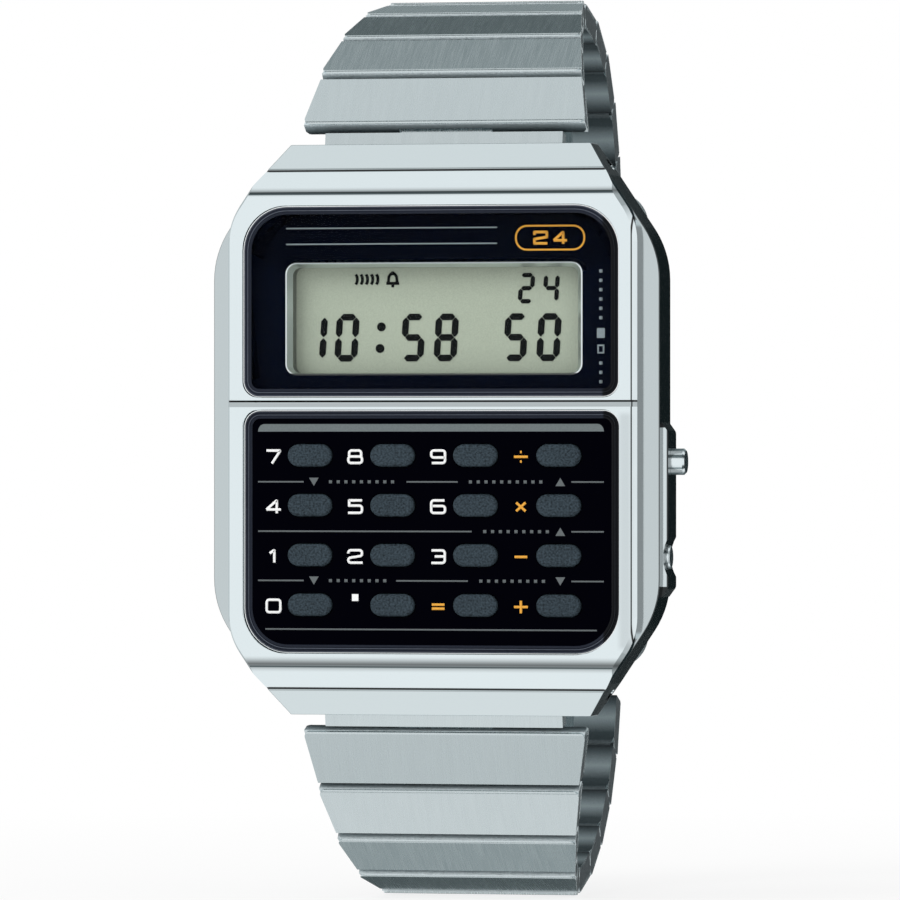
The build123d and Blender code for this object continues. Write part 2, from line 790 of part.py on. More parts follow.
def push_button(z, radius, cap_front, travel):
    """A cap, its stem through the case wall, and the clip that keeps it in."""
    cap_back = half_width - button_recess_depth + travel + seat_gap
    clip_front = cavity_width / 2 - button_clip_offset
    stem_end = clip_front - button_clip_thickness - button_tail_length
    with BuildPart(mode=Mode.PRIVATE) as button:
        with BuildSketch(Plane.YZ.offset(cap_back)):
            with Locations((-button_height, z)):
                Circle(radius)
        extrude(amount=cap_front - cap_back)
        with BuildSketch(Plane.YZ.offset(stem_end)):
            with Locations((-button_height, z)):
                Circle(button_stem_radius)
        extrude(amount=cap_back - stem_end)
    with BuildPart(mode=Mode.PRIVATE) as clip:
        with BuildSketch(Plane.YZ.offset(clip_front - button_clip_thickness)):
            with Locations((-button_height, z)):
                Circle(button_clip_radius)
                Circle(button_stem_radius + running_gap, mode=Mode.SUBTRACT)
        extrude(amount=button_clip_thickness)
    return button.part, clip.part


with BuildPart() as mode_button:
    for piece in push_button(
        mode_button_z, mode_button_radius, guard_x + mode_button_proud, mode_button_travel
    ):
        add(piece)
    chamfer(mode_button.faces().sort_by(Axis.X)[-1].edges(), mode_button_bevel)
save(mode_button, "mode_button")

with BuildPart() as adjust_button:
    for piece in push_button(
        adjust_button_z, adjust_button_radius, guard_x - adjust_button_sunk, adjust_button_travel
    ):
        add(piece)
    fillet(adjust_button.faces().sort_by(Axis.X)[-1].edges(), adjust_dome_height)
save(adjust_button, "adjust_button")


def travel_points(directions):
    """Each hinge of a strand, as distances from the case centre along Z and behind the front."""
    z, depth = spring_bar_z, case_thickness - spring_bar_height
    points = [(z, depth)]
    for index, direction in enumerate(directions):
        step = link_pitch if index else end_link_length
        z += step * math.cos(math.radians(direction))
        depth += step * math.sin(math.radians(direction))
        points.append((z, depth))
    return points


def strand_plane(side, point, direction):
    """Local x runs along the strand, local y outwards from the wrist."""
    angle = math.radians(direction)
    return Plane(
        origin=(0, point[1] - case_thickness, side * point[0]),
        x_dir=(0, math.sin(angle), side * math.cos(angle)),
        z_dir=(side, 0, 0),
    )


def disc(radius, point=(0, 0)):
    with Locations(point):
        Circle(radius)


def bar(start, end, bottom, top):
    """A rectangle from its four sides."""
    with Locations(((start + end) / 2, (bottom + top) / 2)):
        Rectangle(end - start, top - bottom)


fork_near = tongue_width / 2 + fork_gap
fork_far = fork_near + fork_width
nose_centre = link_nose_reach - link_bottom
inner_top = link_top - link_sheet
inner_bottom = link_sheet - link_bottom
inner_reach = link_nose_reach - link_sheet
quarter = math.sqrt(1 / 2)


def folded_sheet(plane, nose_width, tail_width):
    """A link's cover: a plate rolled into a nose round its hinge and folded under."""
    tail = link_pitch - link_tail_gap
    flange = link_pitch - link_flange_gap
    with BuildPart(mode=Mode.PRIVATE) as sheet:
        with BuildSketch(plane) as profile:
            with BuildLine():
                Polyline(
                    (-inner_reach, nose_centre), (-inner_reach, inner_top), (tail, inner_top),
                    (tail, link_top), (-link_nose_reach, link_top), (-link_nose_reach, nose_centre),
                )
                ThreePointArc(
                    (-link_nose_reach, nose_centre),
                    (-link_nose_reach * quarter, nose_centre - link_nose_reach * quarter),
                    (0, -link_bottom),
                )
                Polyline(
                    (0, -link_bottom), (flange, -link_bottom), (flange, inner_bottom),
                    (0, inner_bottom),
                )
                ThreePointArc(
                    (0, inner_bottom),
                    (-inner_reach * quarter, nose_centre - inner_reach * quarter),
                    (-inner_reach, nose_centre),
                )
            make_face()
            outer = [v for v in profile.vertices() if v.X < -inner_reach and v.Y > inner_top]
            fillet(outer, link_edge_radius)
        extrude(amount=nose_width / 2, both=True)
        # The plate narrows from nose to tail, and its nose corners are rounded
        with BuildSketch(Plane(plane.origin, x_dir=plane.x_dir, z_dir=plane.y_dir)) as outline:
            with BuildLine():
                Polyline(
                    (-link_nose_reach, nose_width / 2),
                    (tail, tail_width / 2),
                    (tail, -tail_width / 2),
                    (-link_nose_reach, -nose_width / 2),
                    close=True,
                )
            make_face()
            fillet([v for v in outline.vertices() if v.X < 0], link_corner)
        extrude(amount=2 * link_top, both=True, mode=Mode.INTERSECT)
        # Window for the tongue of the piece before
        with BuildSketch(plane):
            bar(-2 * link_nose_reach, 0, -2 * link_bottom, nose_window_top)
        extrude(amount=fork_near, both=True, mode=Mode.SUBTRACT)
    return sheet.part


def connector(plane, last_reach=None):
    """The strip inside a link: a fork round its own pin and a tongue to the next one."""
    filling_top = inner_top - seat_gap
    filling_bottom = inner_bottom + seat_gap
    strip_body_end = link_pitch - strip_body_gap
    with BuildPart(mode=Mode.PRIVATE) as strip:
        with BuildSketch(plane):
            disc(eye_radius)
            bar(0, strip_body_start, -strip_thickness / 2, strip_thickness / 2)
        extrude(amount=fork_far, both=True)
        with BuildSketch(plane):
            bar(-2 * eye_radius, strip_body_start, filling_bottom, filling_top)
        extrude(amount=fork_near, both=True, mode=Mode.SUBTRACT)
        with BuildSketch(plane):
            bar(strip_body_start, strip_body_end, filling_bottom, filling_top)
        extrude(amount=fork_far, both=True)
        tongue_end = last_reach or link_pitch
        with BuildSketch(plane):
            bar(strip_body_end, tongue_end, -strip_thickness / 2, strip_thickness / 2)
            if last_reach is None:
                disc(eye_radius, (link_pitch, 0))
        extrude(amount=tongue_width / 2, both=True)
        with BuildSketch(plane):
            disc(link_pin_radius + running_gap)
            if last_reach is None:
                disc(link_pin_radius + running_gap, (link_pitch, 0))
        extrude(amount=fork_far, both=True, mode=Mode.SUBTRACT)
    return strip.part


def hinge_pin(plane, radius, half_length):
    with BuildPart(mode=Mode.PRIVATE) as pin:
        with BuildSketch(plane):
            disc(radius)
        extrude(amount=half_length, both=True)
    return pin.part


def end_link(plane):
    """The piece between the lugs: a tube round the spring bar, a plate and a tongue."""
    plate_end = end_link_length - link_tail_gap
    plate_bottom = end_tube_radius - end_link_plate_thickness
    with BuildPart(mode=Mode.PRIVATE) as body:
        with BuildSketch(plane):
            disc(end_tube_radius)
            with Locations((plate_end / 2, (end_tube_radius + plate_bottom) / 2)):
                Rectangle(plate_end, end_link_plate_thickness)
        extrude(amount=end_link_width / 2, both=True)
        with BuildSketch(plane):
            with Locations((end_link_length / 2, 0)):
                Rectangle(end_link_length, strip_thickness)
            disc(eye_radius, (end_link_length, 0))
        extrude(amount=tongue_width / 2, both=True)
        with BuildSketch(plane):
            disc(spring_bar_radius + running_gap)
            disc(link_pin_radius + running_gap, (end_link_length, 0))
        extrude(amount=end_link_width, both=True, mode=Mode.SUBTRACT)
    return body.part


strands = (("12", 1, top_angles), ("6", -1, bottom_angles))
hinges = {name: travel_points(directions) for name, _, directions in strands}
link_count = len(top_angles) - 1


def width_at(number):
    """A link's width at its nose: each of the first links narrows by the same step."""
    taper = min(number - 1, link_taper_count) / link_taper_count
    return link_first_width + (link_last_width - link_first_width) * taper


for name, side, directions in strands:
    points = hinges[name]
    with BuildPart() as first:
        add(end_link(strand_plane(side, points[0], directions[0])))
    save(first, f"end_link_{name}")
    for number in range(1, link_count + 1):
        plane = strand_plane(side, points[number], directions[number])
        open_end = name == "12" and number == link_count
        reach = link_pitch - spring_bar_radius - clasp_bar_gap if open_end else None
        with BuildPart() as link:
            add(folded_sheet(plane, width_at(number), width_at(number + 1)))
            add(connector(plane, reach))
            add(hinge_pin(plane, link_pin_radius, fork_far))
        save(link, f"link_{name}_{number}")

# The clasp lies between the two strand ends
near_end = (-hinges["6"][-1][0], hinges["6"][-1][1])
far_end = hinges["12"][-1]
clasp_span = math.dist(near_end, far_end)
clasp_plane = Plane(
    origin=(0, near_end[1] - case_thickness, near_end[0]),
    x_dir=(0, far_end[1] - near_end[1], far_end[0] - near_end[0]),
    z_dir=(-1, 0, 0),
)
middle_bottom = inner_leaf_top + leaf_gap
leaf_hinge_level = middle_bottom + leaf_eye_radius
clasp_cover_bottom = leaf_hinge_level + leaf_fork_radius + clasp_cover_gap
leaf_hinge = (clasp_span - far_hinge_inset, leaf_hinge_level)
cover_hinge = (cover_hinge_inset, leaf_hinge_level)
knuckle_half = leaf_knuckle_width / 2


# Inner leaf: hinged to the 6 o'clock strand at one end and to the middle leaf at the other
with BuildPart() as clasp_inner_leaf:
    with BuildSketch(clasp_plane):
        disc(eye_radius)
        bar(0, 2 * eye_radius, inner_leaf_top - inner_leaf_thickness, inner_leaf_top)
        bar(leaf_hinge[0] - leaf_fork_radius, leaf_hinge[0] + inner_leaf_end,
            inner_leaf_top - inner_leaf_thickness, leaf_hinge[1])
        disc(leaf_fork_radius, leaf_hinge)
    extrude(amount=leaf_width / 2, both=True)
    with BuildSketch(clasp_plane):
        bar(-eye_radius, eye_radius + fork_gap, -eye_radius, eye_radius)
    extrude(amount=fork_near, both=True, mode=Mode.SUBTRACT)
    with BuildSketch(clasp_plane):
        bar(leaf_hinge[0] - 2 * leaf_fork_radius, leaf_hinge[0] + 2 * leaf_fork_radius,
            inner_leaf_top, leaf_hinge[1] + leaf_fork_radius)
    extrude(amount=knuckle_half + leaf_knuckle_gap, both=True, mode=Mode.SUBTRACT)
    with BuildSketch(clasp_plane):
        bar(eye_radius + fork_gap, leaf_hinge[0] + inner_leaf_end,
            inner_leaf_top - inner_leaf_thickness, inner_leaf_top)
    extrude(amount=leaf_width / 2, both=True)
    with BuildSketch(clasp_plane):
        disc(link_pin_radius + running_gap)
        disc(leaf_pin_radius + running_gap, leaf_hinge)
    extrude(amount=leaf_width, both=True, mode=Mode.SUBTRACT)
    with BuildSketch(clasp_plane):
        disc(link_pin_radius)
        disc(leaf_pin_radius, leaf_hinge)
    extrude(amount=leaf_width / 2, both=True)
save(clasp_inner_leaf, "clasp_inner_leaf")

# Middle leaf: an eye at each end, the far one narrow to fit between the inner leaf's knuckles
with BuildPart() as clasp_middle_leaf:
    with BuildSketch(clasp_plane):
        disc(leaf_eye_radius, cover_hinge)
        bar(cover_hinge[0], leaf_hinge[0] - leaf_fork_radius - leaf_gap,
            middle_bottom, middle_bottom + middle_leaf_thickness)
    extrude(amount=leaf_width / 2, both=True)
    with BuildSketch(clasp_plane):
        disc(leaf_eye_radius, leaf_hinge)
        bar(leaf_hinge[0] - 2 * leaf_fork_radius, leaf_hinge[0],
            middle_bottom, middle_bottom + middle_leaf_thickness)
    extrude(amount=knuckle_half, both=True)
    with BuildSketch(clasp_plane):
        disc(leaf_pin_radius + running_gap, leaf_hinge)
        disc(leaf_pin_radius + running_gap, cover_hinge)
    extrude(amount=leaf_width, both=True, mode=Mode.SUBTRACT)
save(clasp_middle_leaf, "clasp_middle_leaf")

# Cover: a plate with side walls, adjustment holes, and the bar that the strand hooks on
cover_start = cover_hinge[0] + cover_start_gap
cover_end = clasp_span - cover_end_inset
cover_top = clasp_cover_bottom + clasp_cover_thickness
wall_bottom = clasp_cover_bottom - clasp_wall_depth
hole_places = [(clasp_span - step * ear_hole_pitch, 0) for step in range(ear_hole_count)]
with BuildPart() as clasp_cover:
    with BuildSketch(clasp_plane):
        bar(cover_start, cover_end, wall_bottom, cover_top)
    extrude(amount=clasp_width / 2, both=True)
    top_face = clasp_cover.faces().sort_by(Axis.Y)[-1]
    fillet(top_face.edges(), clasp_edge_radius)
    with BuildSketch(clasp_plane):
        disc(leaf_fork_radius, cover_hinge)
        disc(ear_radius, (clasp_span, 0))
    extrude(amount=clasp_width / 2, both=True)
    with BuildSketch(clasp_plane):
        bar(0, clasp_span + ear_radius, wall_bottom, clasp_cover_bottom)
    extrude(amount=clasp_width / 2 - clasp_wall, both=True, mode=Mode.SUBTRACT)
    with BuildSketch(clasp_plane):
        disc(leaf_pin_radius, cover_hinge)
        for place in hole_places:
            disc(ear_hole_radius, place)
    extrude(amount=clasp_width, both=True, mode=Mode.SUBTRACT)
    with BuildSketch(clasp_plane):
        disc(leaf_pin_radius, cover_hinge)
        disc(ear_hole_radius, (clasp_span, 0))
    extrude(amount=clasp_width / 2, both=True)
    with BuildSketch(clasp_plane):
        disc(spring_bar_radius, (clasp_span, 0))
    extrude(amount=clasp_width / 2 - clasp_wall, both=True)
save(clasp_cover, "clasp_cover")
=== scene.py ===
# %% [markdown]
# # Calculator watch
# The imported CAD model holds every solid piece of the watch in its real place. Blender adds what the
# eye needs: finishes, printed marks, the bracelet's folds and studio light. Loading the frame first
# means that every later piece can be placed in the CAD's own coordinates, in metres.

# %% Load the frame
import math
import bmesh
import bpy
from mathutils import Matrix, Vector
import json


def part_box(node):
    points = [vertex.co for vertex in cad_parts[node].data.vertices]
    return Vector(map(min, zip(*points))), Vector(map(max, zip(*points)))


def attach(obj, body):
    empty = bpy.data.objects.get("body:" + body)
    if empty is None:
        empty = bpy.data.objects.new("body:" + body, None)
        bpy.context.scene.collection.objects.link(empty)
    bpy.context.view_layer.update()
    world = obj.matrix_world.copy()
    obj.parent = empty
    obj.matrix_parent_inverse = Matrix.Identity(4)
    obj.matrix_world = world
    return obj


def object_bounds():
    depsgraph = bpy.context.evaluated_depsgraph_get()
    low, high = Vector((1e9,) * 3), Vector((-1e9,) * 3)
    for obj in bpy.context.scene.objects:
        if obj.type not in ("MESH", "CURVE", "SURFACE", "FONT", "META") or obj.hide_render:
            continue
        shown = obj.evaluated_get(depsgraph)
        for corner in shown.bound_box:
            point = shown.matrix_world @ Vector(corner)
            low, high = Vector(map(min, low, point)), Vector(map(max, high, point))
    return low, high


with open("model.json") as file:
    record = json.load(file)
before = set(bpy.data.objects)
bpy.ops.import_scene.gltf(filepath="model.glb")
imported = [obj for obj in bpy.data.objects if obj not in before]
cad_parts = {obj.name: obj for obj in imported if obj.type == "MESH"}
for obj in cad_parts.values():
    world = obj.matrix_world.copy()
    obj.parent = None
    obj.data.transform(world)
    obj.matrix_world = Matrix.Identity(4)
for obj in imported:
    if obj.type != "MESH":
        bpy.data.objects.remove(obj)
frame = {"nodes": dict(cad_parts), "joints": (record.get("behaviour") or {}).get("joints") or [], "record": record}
cad_low, cad_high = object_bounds()
nodes = frame["nodes"]
mm = 0.001
print("nodes", len(nodes), "box", [round(v / mm, 2) for v in (*cad_low, *cad_high)])

# %% [markdown]
# The dial looks along -Y, and 12 o'clock is +Z. The camera stood 600 mm away, level with the case and
# about 12 degrees towards 3 o'clock. A long lens keeps the case's sides nearly parallel, as in the
# photograph. The aim point is set off from the case so that the watch sits where the picture has it.

# %% Camera
turn = math.radians(12.4)
distance = 0.6
aim_right, aim_down = 1.52 * mm, 1.54 * mm
camera_right = Vector((math.cos(turn), math.sin(turn), 0))
camera_back = Vector((math.sin(turn), -math.cos(turn), 0))
case_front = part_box("front_bezel")[0].y
aim = Vector((0, case_front, 0)) + camera_right * aim_right - Vector((0, 0, aim_down))
camera = bpy.data.objects.new("camera", bpy.data.cameras.new("camera"))
camera.data.sensor_width = 36
camera.data.lens = 319.4
camera.data.clip_start = 0.01
camera.location = aim + camera_back * distance
camera.rotation_euler = (aim - camera.location).to_track_quat("-Z", "Y").to_euler()
bpy.context.scene.collection.objects.link(camera)
bpy.context.scene.camera = camera
bpy.context.scene.view_settings.view_transform = "Standard"
print("camera at", [round(v, 3) for v in camera.location])

# %% [markdown]
# A finish is a small tree of shader nodes. Writing the maths of a pattern as a Python expression is
# easier to read than wiring nodes by hand, so one class wraps an output socket and turns + - * / into
# Math nodes, and another adds any node from its type, its settings and its inputs.

# %% Shader expressions
class Flow:
    """An output socket whose arithmetic adds Math nodes."""

    def __init__(self, finish, socket):
        self.finish = finish
        self.socket = socket

    def __add__(self, other):
        return self.finish.maths("ADD", self, other)

    def __mul__(self, other):
        return self.finish.maths("MULTIPLY", self, other)

    def __sub__(self, other):
        return self.finish.maths("SUBTRACT", self, other)

    def __rsub__(self, other):
        return self.finish.maths("SUBTRACT", other, self)

    def __truediv__(self, other):
        return self.finish.maths("DIVIDE", self, other)


class Finish:
    """A node tree that is filled by calls to node()."""

    def __init__(self, name, owner=None):
        self.owner = owner or bpy.data.materials.new(name)
        self.owner.use_nodes = True
        self.tree = self.owner.node_tree
        self.tree.nodes.clear()

    def node(self, kind, settings=None, values=(), output=0):
        """Adds a node. Settings come first, then the values or links of its sockets."""
        made = self.tree.nodes.new(kind)
        for name, value in (settings or {}).items():
            if name == "stops":
                stops = made.color_ramp.elements
                stops[0].color = value[0][1]
                stops[1].color = value[-1][1]
                for position, colour in value[1:-1]:
                    stops.new(position).color = colour
                stops[len(stops) - 1].position = value[-1][0]
                stops[0].position = value[0][0]
            else:
                setattr(made, name, value)
        pairs = values.items() if isinstance(values, dict) else enumerate(values)
        for key, value in pairs:
            socket = made.inputs[key]
            if isinstance(value, Flow):
                self.tree.links.new(value.socket, socket)
            else:
                socket.default_value = value
        return Flow(self, made.outputs[output]) if made.outputs else None

    def place(self, scale=(1, 1, 1), turned=(0, 0, 0)):
        """The piece's own coordinates, in millimetres, scaled and turned for a pattern."""
        spot = self.node("ShaderNodeTexCoord", output="Object")
        scaled = tuple(value / mm for value in scale)
        return self.node("ShaderNodeMapping", {}, {"Vector": spot, "Rotation": turned, "Scale": scaled})

    def noise(self, grain, detail, roughness=0.5, turned=(0, 0, 0)):
        """A cloudy pattern, finer along an axis where its grain is larger."""
        return self.node("ShaderNodeTexNoise", {}, {
            "Vector": self.place(grain, turned), "Scale": 1.0, "Detail": detail, "Roughness": roughness})

    def split(self, vector):
        """The parts of a vector, by the names X, Y and Z."""
        parts = self.node("ShaderNodeSeparateXYZ", {}, (vector,)).socket.node.outputs
        return {axis: Flow(self, parts[axis]) for axis in "XYZ"}

    def maths(self, operation, *values):
        return self.node("ShaderNodeMath", {"operation": operation}, values)

    def absolute(self, value):
        return self.maths("ABSOLUTE", value)

    def mix_colour(self, factor, first, second):
        """The first colour where the factor is zero, and the second where it is one."""
        sockets = {0: factor, 6: first, 7: second}  # the Mix node numbers those for colours like this
        return self.node("ShaderNodeMix", {"data_type": "RGBA"}, sockets, output=2)

    def bump(self, height, distance):
        """A Bump node, with the relief's depth in millimetres."""
        return self.node("ShaderNodeBump", {}, {
            "Height": height, "Distance": distance * mm, "Strength": 1.0})

    def surface(self, values):
        """The shader that shows, from a dictionary of its sockets."""
        shown = self.node("ShaderNodeBsdfPrincipled", {}, values)
        self.node("ShaderNodeOutputMaterial", {}, {"Surface": shown})
        return self.owner


def linear(red, green, blue):
    """A colour given as 0 to 255, as the linear light that shaders use."""
    steps = [value / 255 for value in (red, green, blue)]
    return (*[s / 12.92 if s <= 0.04045 else ((s + 0.055) / 1.055) ** 2.4 for s in steps], 1)


print("white is", linear(255, 255, 255)[:3])

# %% [markdown]
# The watch stands on pale paper that keeps a soft shadow. A studio rolls the paper up behind the
# object to hide its end. One large flat face is simpler, and it glows white away from the watch, so
# that its far edge never shows. Reflections leave it out, because the tent below looks after them.

# %% Floor
def rays(finish, *kinds):
    """One for rays of the named kinds, as the Light Path node calls them, and zero for others."""
    named = finish.node("ShaderNodeLightPath").socket.node.outputs
    total = Flow(finish, named[kinds[0]])
    for kind in kinds[1:]:
        total = total + Flow(finish, named[kind])
    return finish.maths("MINIMUM", total, 1.0)


floor_level = cad_low.z - 0.02 * mm
reach = 1.5
floor_mesh = bpy.data.meshes.new("floor")
corners = ((-reach, -reach), (reach, -reach), (reach, reach), (-reach, reach))
floor_mesh.from_pydata([(x, y, floor_level) for x, y in corners], [], [(0, 1, 2, 3)])
floor = bpy.data.objects.new("floor", floor_mesh)
bpy.context.scene.collection.objects.link(floor)
white = (1, 1, 1, 1)
floor_grey = (0.86, 0.86, 0.86, 1)
shadow_reach, white_from, near_glow = 40 * mm, 160 * mm, 0.8
floor_finish = Finish("white_paper")
lit = floor_finish.node("ShaderNodeBsdfDiffuse", {}, {"Color": floor_grey})
glowing = floor_finish.node("ShaderNodeEmission", {}, {"Color": white, "Strength": 1.0})
seen = rays(floor_finish, "Is Camera Ray", "Is Transmission Ray")
spot = floor_finish.node("ShaderNodeTexCoord", output="Object")
away = floor_finish.node("ShaderNodeVectorMath", {"operation": "LENGTH"}, (spot,), output="Value")
fading = floor_finish.node("ShaderNodeMapRange", {}, {
    "Value": away, "From Min": shadow_reach, "From Max": white_from, "To Min": near_glow, "To Max": 1.0})
paper = floor_finish.node("ShaderNodeMixShader", {}, (seen * fading, lit, glowing))
floor_finish.node("ShaderNodeOutputMaterial", {}, {"Surface": paper})
floor.data.materials.append(floor_finish.owner)
floor.visible_glossy = False
print("floor at", round(floor_level / mm, 2), "mm")

# %% [markdown]
# Polished metal shows only what stands round it. A photographer puts it in a white tent and hangs
# dark cloths where a face should turn grey or a rounded edge should get a dark line. Panels could be
# built for that, but one ramp is easier to tune: it gives the brightness that reflections find at
# each angle, from the lens at 0 degrees over the top to the back at 180. The cloths are narrow, and
# to the sides of them the tent is white again, apart from a dark flag at 3 o'clock. One low cloth
# stands behind the watch and darkens the walls that the lens sees at a slant.

# %% White surroundings with dark cloths
tent_angles = (
    (-180, 0.7), (-172, 0.6), (-160, 0.12), (-150, 0.1), (-130, 0.22), (-112, 0.42), (-104, 0.9),
    (-100, 1.0), (-72, 1.0), (-64, 0.3), (-54, 0.3), (-46, 0.95), (-24, 1.0), (0, 1.0), (28, 1.0),
    (36, 0.2), (60, 0.12), (68, 0.9), (98, 1.0), (103, 0.9), (108, 0.36), (128, 0.15), (140, 0.13),
    (152, 0.3), (160, 0.36), (167, 0.4), (172, 0.6), (180, 0.7),
)
cloth_shares = ((0.45, 0.0), (0.7, 1.0))
side_flags = ((0.77, 1.0), (0.82, 0.08), (0.92, 0.08), (0.96, 1.0))
rear_reach = ((0.02, 0.0), (0.2, 1.0))
rear_height = ((0.2, 1.0), (0.32, 0.0))
rear_width = ((0.055, 0.0), (0.075, 1.0), (0.3, 1.0), (0.42, 0.0))
rear_slant = 0.3
cloth_black, daylight = (0.012, 0.02, 0.022, 1), (0.8, 0.8, 0.8, 1)


def cool(shade):
    """A grey that turns bluer as it gets darker."""
    return (shade * (0.76 + 0.24 * shade), shade * (0.96 + 0.04 * shade), shade, 1)


def shades(finish, stops, value):
    """A grey for each value, between the stops."""
    return finish.node("ShaderNodeValToRGB", {
        "stops": [(place, cool(shade)) for place, shade in stops]}, (value,))


world = bpy.data.worlds.new("tent")
bpy.context.scene.world = world
tent = Finish("tent", world)
direction = tent.node("ShaderNodeTexCoord", output="Generated")
sideways, backwards, upwards = tent.split(direction).values()
over = tent.maths("ARCTAN2", upwards, 0 - backwards) * (0.5 / math.pi) + 0.5
grey = shades(tent, [((angle + 180) / 360, shade) for angle, shade in tent_angles], over)
mirrored = tent.mix_colour(shades(tent, cloth_shares, tent.absolute(sideways)), grey,
                           shades(tent, side_flags, sideways))
low_cloth = (shades(tent, rear_reach, backwards) * shades(tent, rear_height, tent.absolute(upwards))
             * shades(tent, rear_width, tent.absolute(upwards) * rear_slant + sideways))
mirrored = tent.mix_colour(low_cloth, mirrored, cloth_black)
shown = tent.mix_colour(rays(tent, "Is Camera Ray", "Is Transmission Ray"), daylight, white)
shown = tent.mix_colour(rays(tent, "Is Glossy Ray"), shown, mirrored)
tent_light = tent.node("ShaderNodeBackground", {}, {"Color": shown, "Strength": 1.0})
tent.node("ShaderNodeOutputWorld", {}, {"Surface": tent_light})

# %% One soft lamp from the upper left, for the shadow on the floor
lamp = bpy.data.lights.new("key_lamp", "AREA")
lamp.shape, lamp.size, lamp.energy = "SQUARE", 0.5, 3.0
key_lamp = bpy.data.objects.new("key_lamp", lamp)
key_lamp.location = (-0.45, -0.55, 0.55)
key_lamp.rotation_euler = (-key_lamp.location).to_track_quat("-Z", "Y").to_euler()
key_lamp.visible_glossy = False
bpy.context.scene.collection.objects.link(key_lamp)

# %% [markdown]
# Polished steel covers the case and the bezel. Metal takes its look from reflections, so small
# changes of roughness and relief matter more than its colour. One function of a few numbers serves
# every polished piece. It also takes bands of painted shade: dark lines and patches where seams,
# grooves, bends and walls would lie in shade or reflect dark.

# %% Polished steel
steel = (0.74, 0.82, 0.845, 1)
case_steel = (0.64, 0.715, 0.735, 1)


def shaded(colour, share):
    """A darker version of a colour."""
    return (*[value * share for value in colour[:3]], 1)


def facing_sideways(finish):
    """One on walls that face 3 or 9 o'clock, which get painted shade, and zero elsewhere."""
    normal = finish.node("ShaderNodeNewGeometry", output="Normal")
    return finish.node("ShaderNodeMapRange", {"interpolation_type": "SMOOTHSTEP"}, {
        "Value": finish.absolute(finish.split(normal)["X"]), "From Min": 0.35, "From Max": 0.75})


def band(finish, axis, low, high, soft):
    """One between two places along an axis, in millimetres, and zero outside them."""
    middle, half = (low + high) / 2, (high - low) / 2
    off = finish.absolute(finish.split(finish.place())[axis] - middle)
    return finish.node("ShaderNodeMapRange", {"interpolation_type": "SMOOTHSTEP"}, {
        "Value": off, "From Min": half + soft, "From Max": half - soft})


def paint_shade(finish, colour, rows):
    """A colour with painted shade in places: each row is a share of brightness, a softness and bands along axes.
    """
    full = colour
    for share, soft, *places in rows:
        mask = band(finish, *places[0], soft)
        for place in places[1:]:
            mask = mask * band(finish, *place, soft)
        colour = finish.mix_colour(mask, colour, shaded(full, share))
    return colour


def polished(name, roughness, colour=steel, shade_bands=(), side_shade_share=None):
    """Polished metal with faint wiping marks and an almost flat, slightly wavy face."""
    ripple = 0.0015
    finish = Finish(name)
    wiped = finish.noise((0.6, 0.6, 0.6), 4.0)
    haze = finish.noise((9, 9, 9), 3.0)
    waves = finish.noise((0.12, 0.12, 0.12), 1.0)
    # The bands given and the walls that face the sides are painted darker: painted shade.
    full, colour = colour, paint_shade(finish, colour, shade_bands)
    if side_shade_share:
        colour = finish.mix_colour(facing_sideways(finish), colour, shaded(full, side_shade_share))
    return finish.surface({
        "Base Color": colour, "Metallic": 1.0,
        "Roughness": (wiped - 0.5) * 0.05 + (haze - 0.5) * 0.04 + roughness,
        "Normal": finish.bump(waves, ripple)})


# %% [markdown]
# The bracelet, the clasp and the case back are brushed. An abrasive belt leaves scratches that are
# long one way and fine across it, so a noise pattern is stretched in the same way. It drives colour,
# roughness and relief together, as real scratches do, and needs no picture of them.

# %% Brushed steel
def brushed(name, roughness, colour=case_steel):
    """Steel drawn along the strap: its scratches are long and change in fine steps along X."""
    grain, slant, depth = (11, 0.32, 0.32), 0.09, 0.002
    finish = Finish(name)
    fine = finish.noise(grain, 5.0, 0.7, turned=(0, slant, 0))
    broad = finish.noise((2.2, 0.25, 0.25), 3.0)
    shade = finish.mix_colour((fine - 0.5) * 1.6 + 0.5, shaded(colour, 0.84), colour)
    return finish.surface({
        "Base Color": shade, "Metallic": 1.0,
        "Roughness": (fine - 0.5) * 0.25 + (broad - 0.5) * 0.1 + roughness,
        "Normal": finish.bump(fine, depth)})


# %% [markdown]
# Moulded plastic, rubber, paint and ink differ in colour, gloss and the size of their grain, so they
# share one function. The crystal could be real glass, but that bends the light and darkens the
# display. A thin reflection over a clear body keeps the colours of what lies below.

# %% Plastics, paint, rubber and glass
def moulded(name, colour, roughness, grain=6.0, depth=0.01, specular=0.5, low_share=0.88, shade_bands=()):
    """A dielectric surface with a fine moulded or sprayed texture, with painted shade in one band if given."""
    shade_share = 0.14
    finish = Finish(name)
    pebble = finish.noise((grain, grain, grain), 3.0)
    patch = finish.noise((0.4, 0.4, 0.4), 2.0)
    shade = finish.mix_colour((patch - 0.5) * 0.4 + (pebble - 0.5) * 3.2 + 0.55,
                              shaded(colour, low_share), colour)
    if shade_bands:
        shade = finish.mix_colour(band(finish, *shade_bands), shade, shaded(colour, shade_share))
    return finish.surface({
        "Base Color": shade, "Roughness": (pebble - 0.5) * 0.2 + roughness,
        "Specular IOR Level": specular, "Normal": finish.bump(pebble, depth)})


def clear_glass(name, gloss):
    """Glass as a thin reflection over a clear body, so that what lies below keeps its colour."""
    finish = Finish(name)
    facing = finish.node("ShaderNodeFresnel", {}, {"IOR": 1.45})
    through = finish.node("ShaderNodeBsdfTransparent", {}, {"Color": (0.97, 0.98, 0.975, 1)})
    smear = finish.noise((0.3, 0.3, 0.3), 3.0)
    shine = finish.node("ShaderNodeBsdfPrincipled", {}, {
        "Base Color": (1, 1, 1, 1), "Metallic": 1.0, "Roughness": smear * 0.04 + 0.01})
    layered = finish.node("ShaderNodeMixShader", {}, (facing * gloss, through, shine))
    finish.node("ShaderNodeOutputMaterial", {}, {"Surface": layered})
    return finish.owner
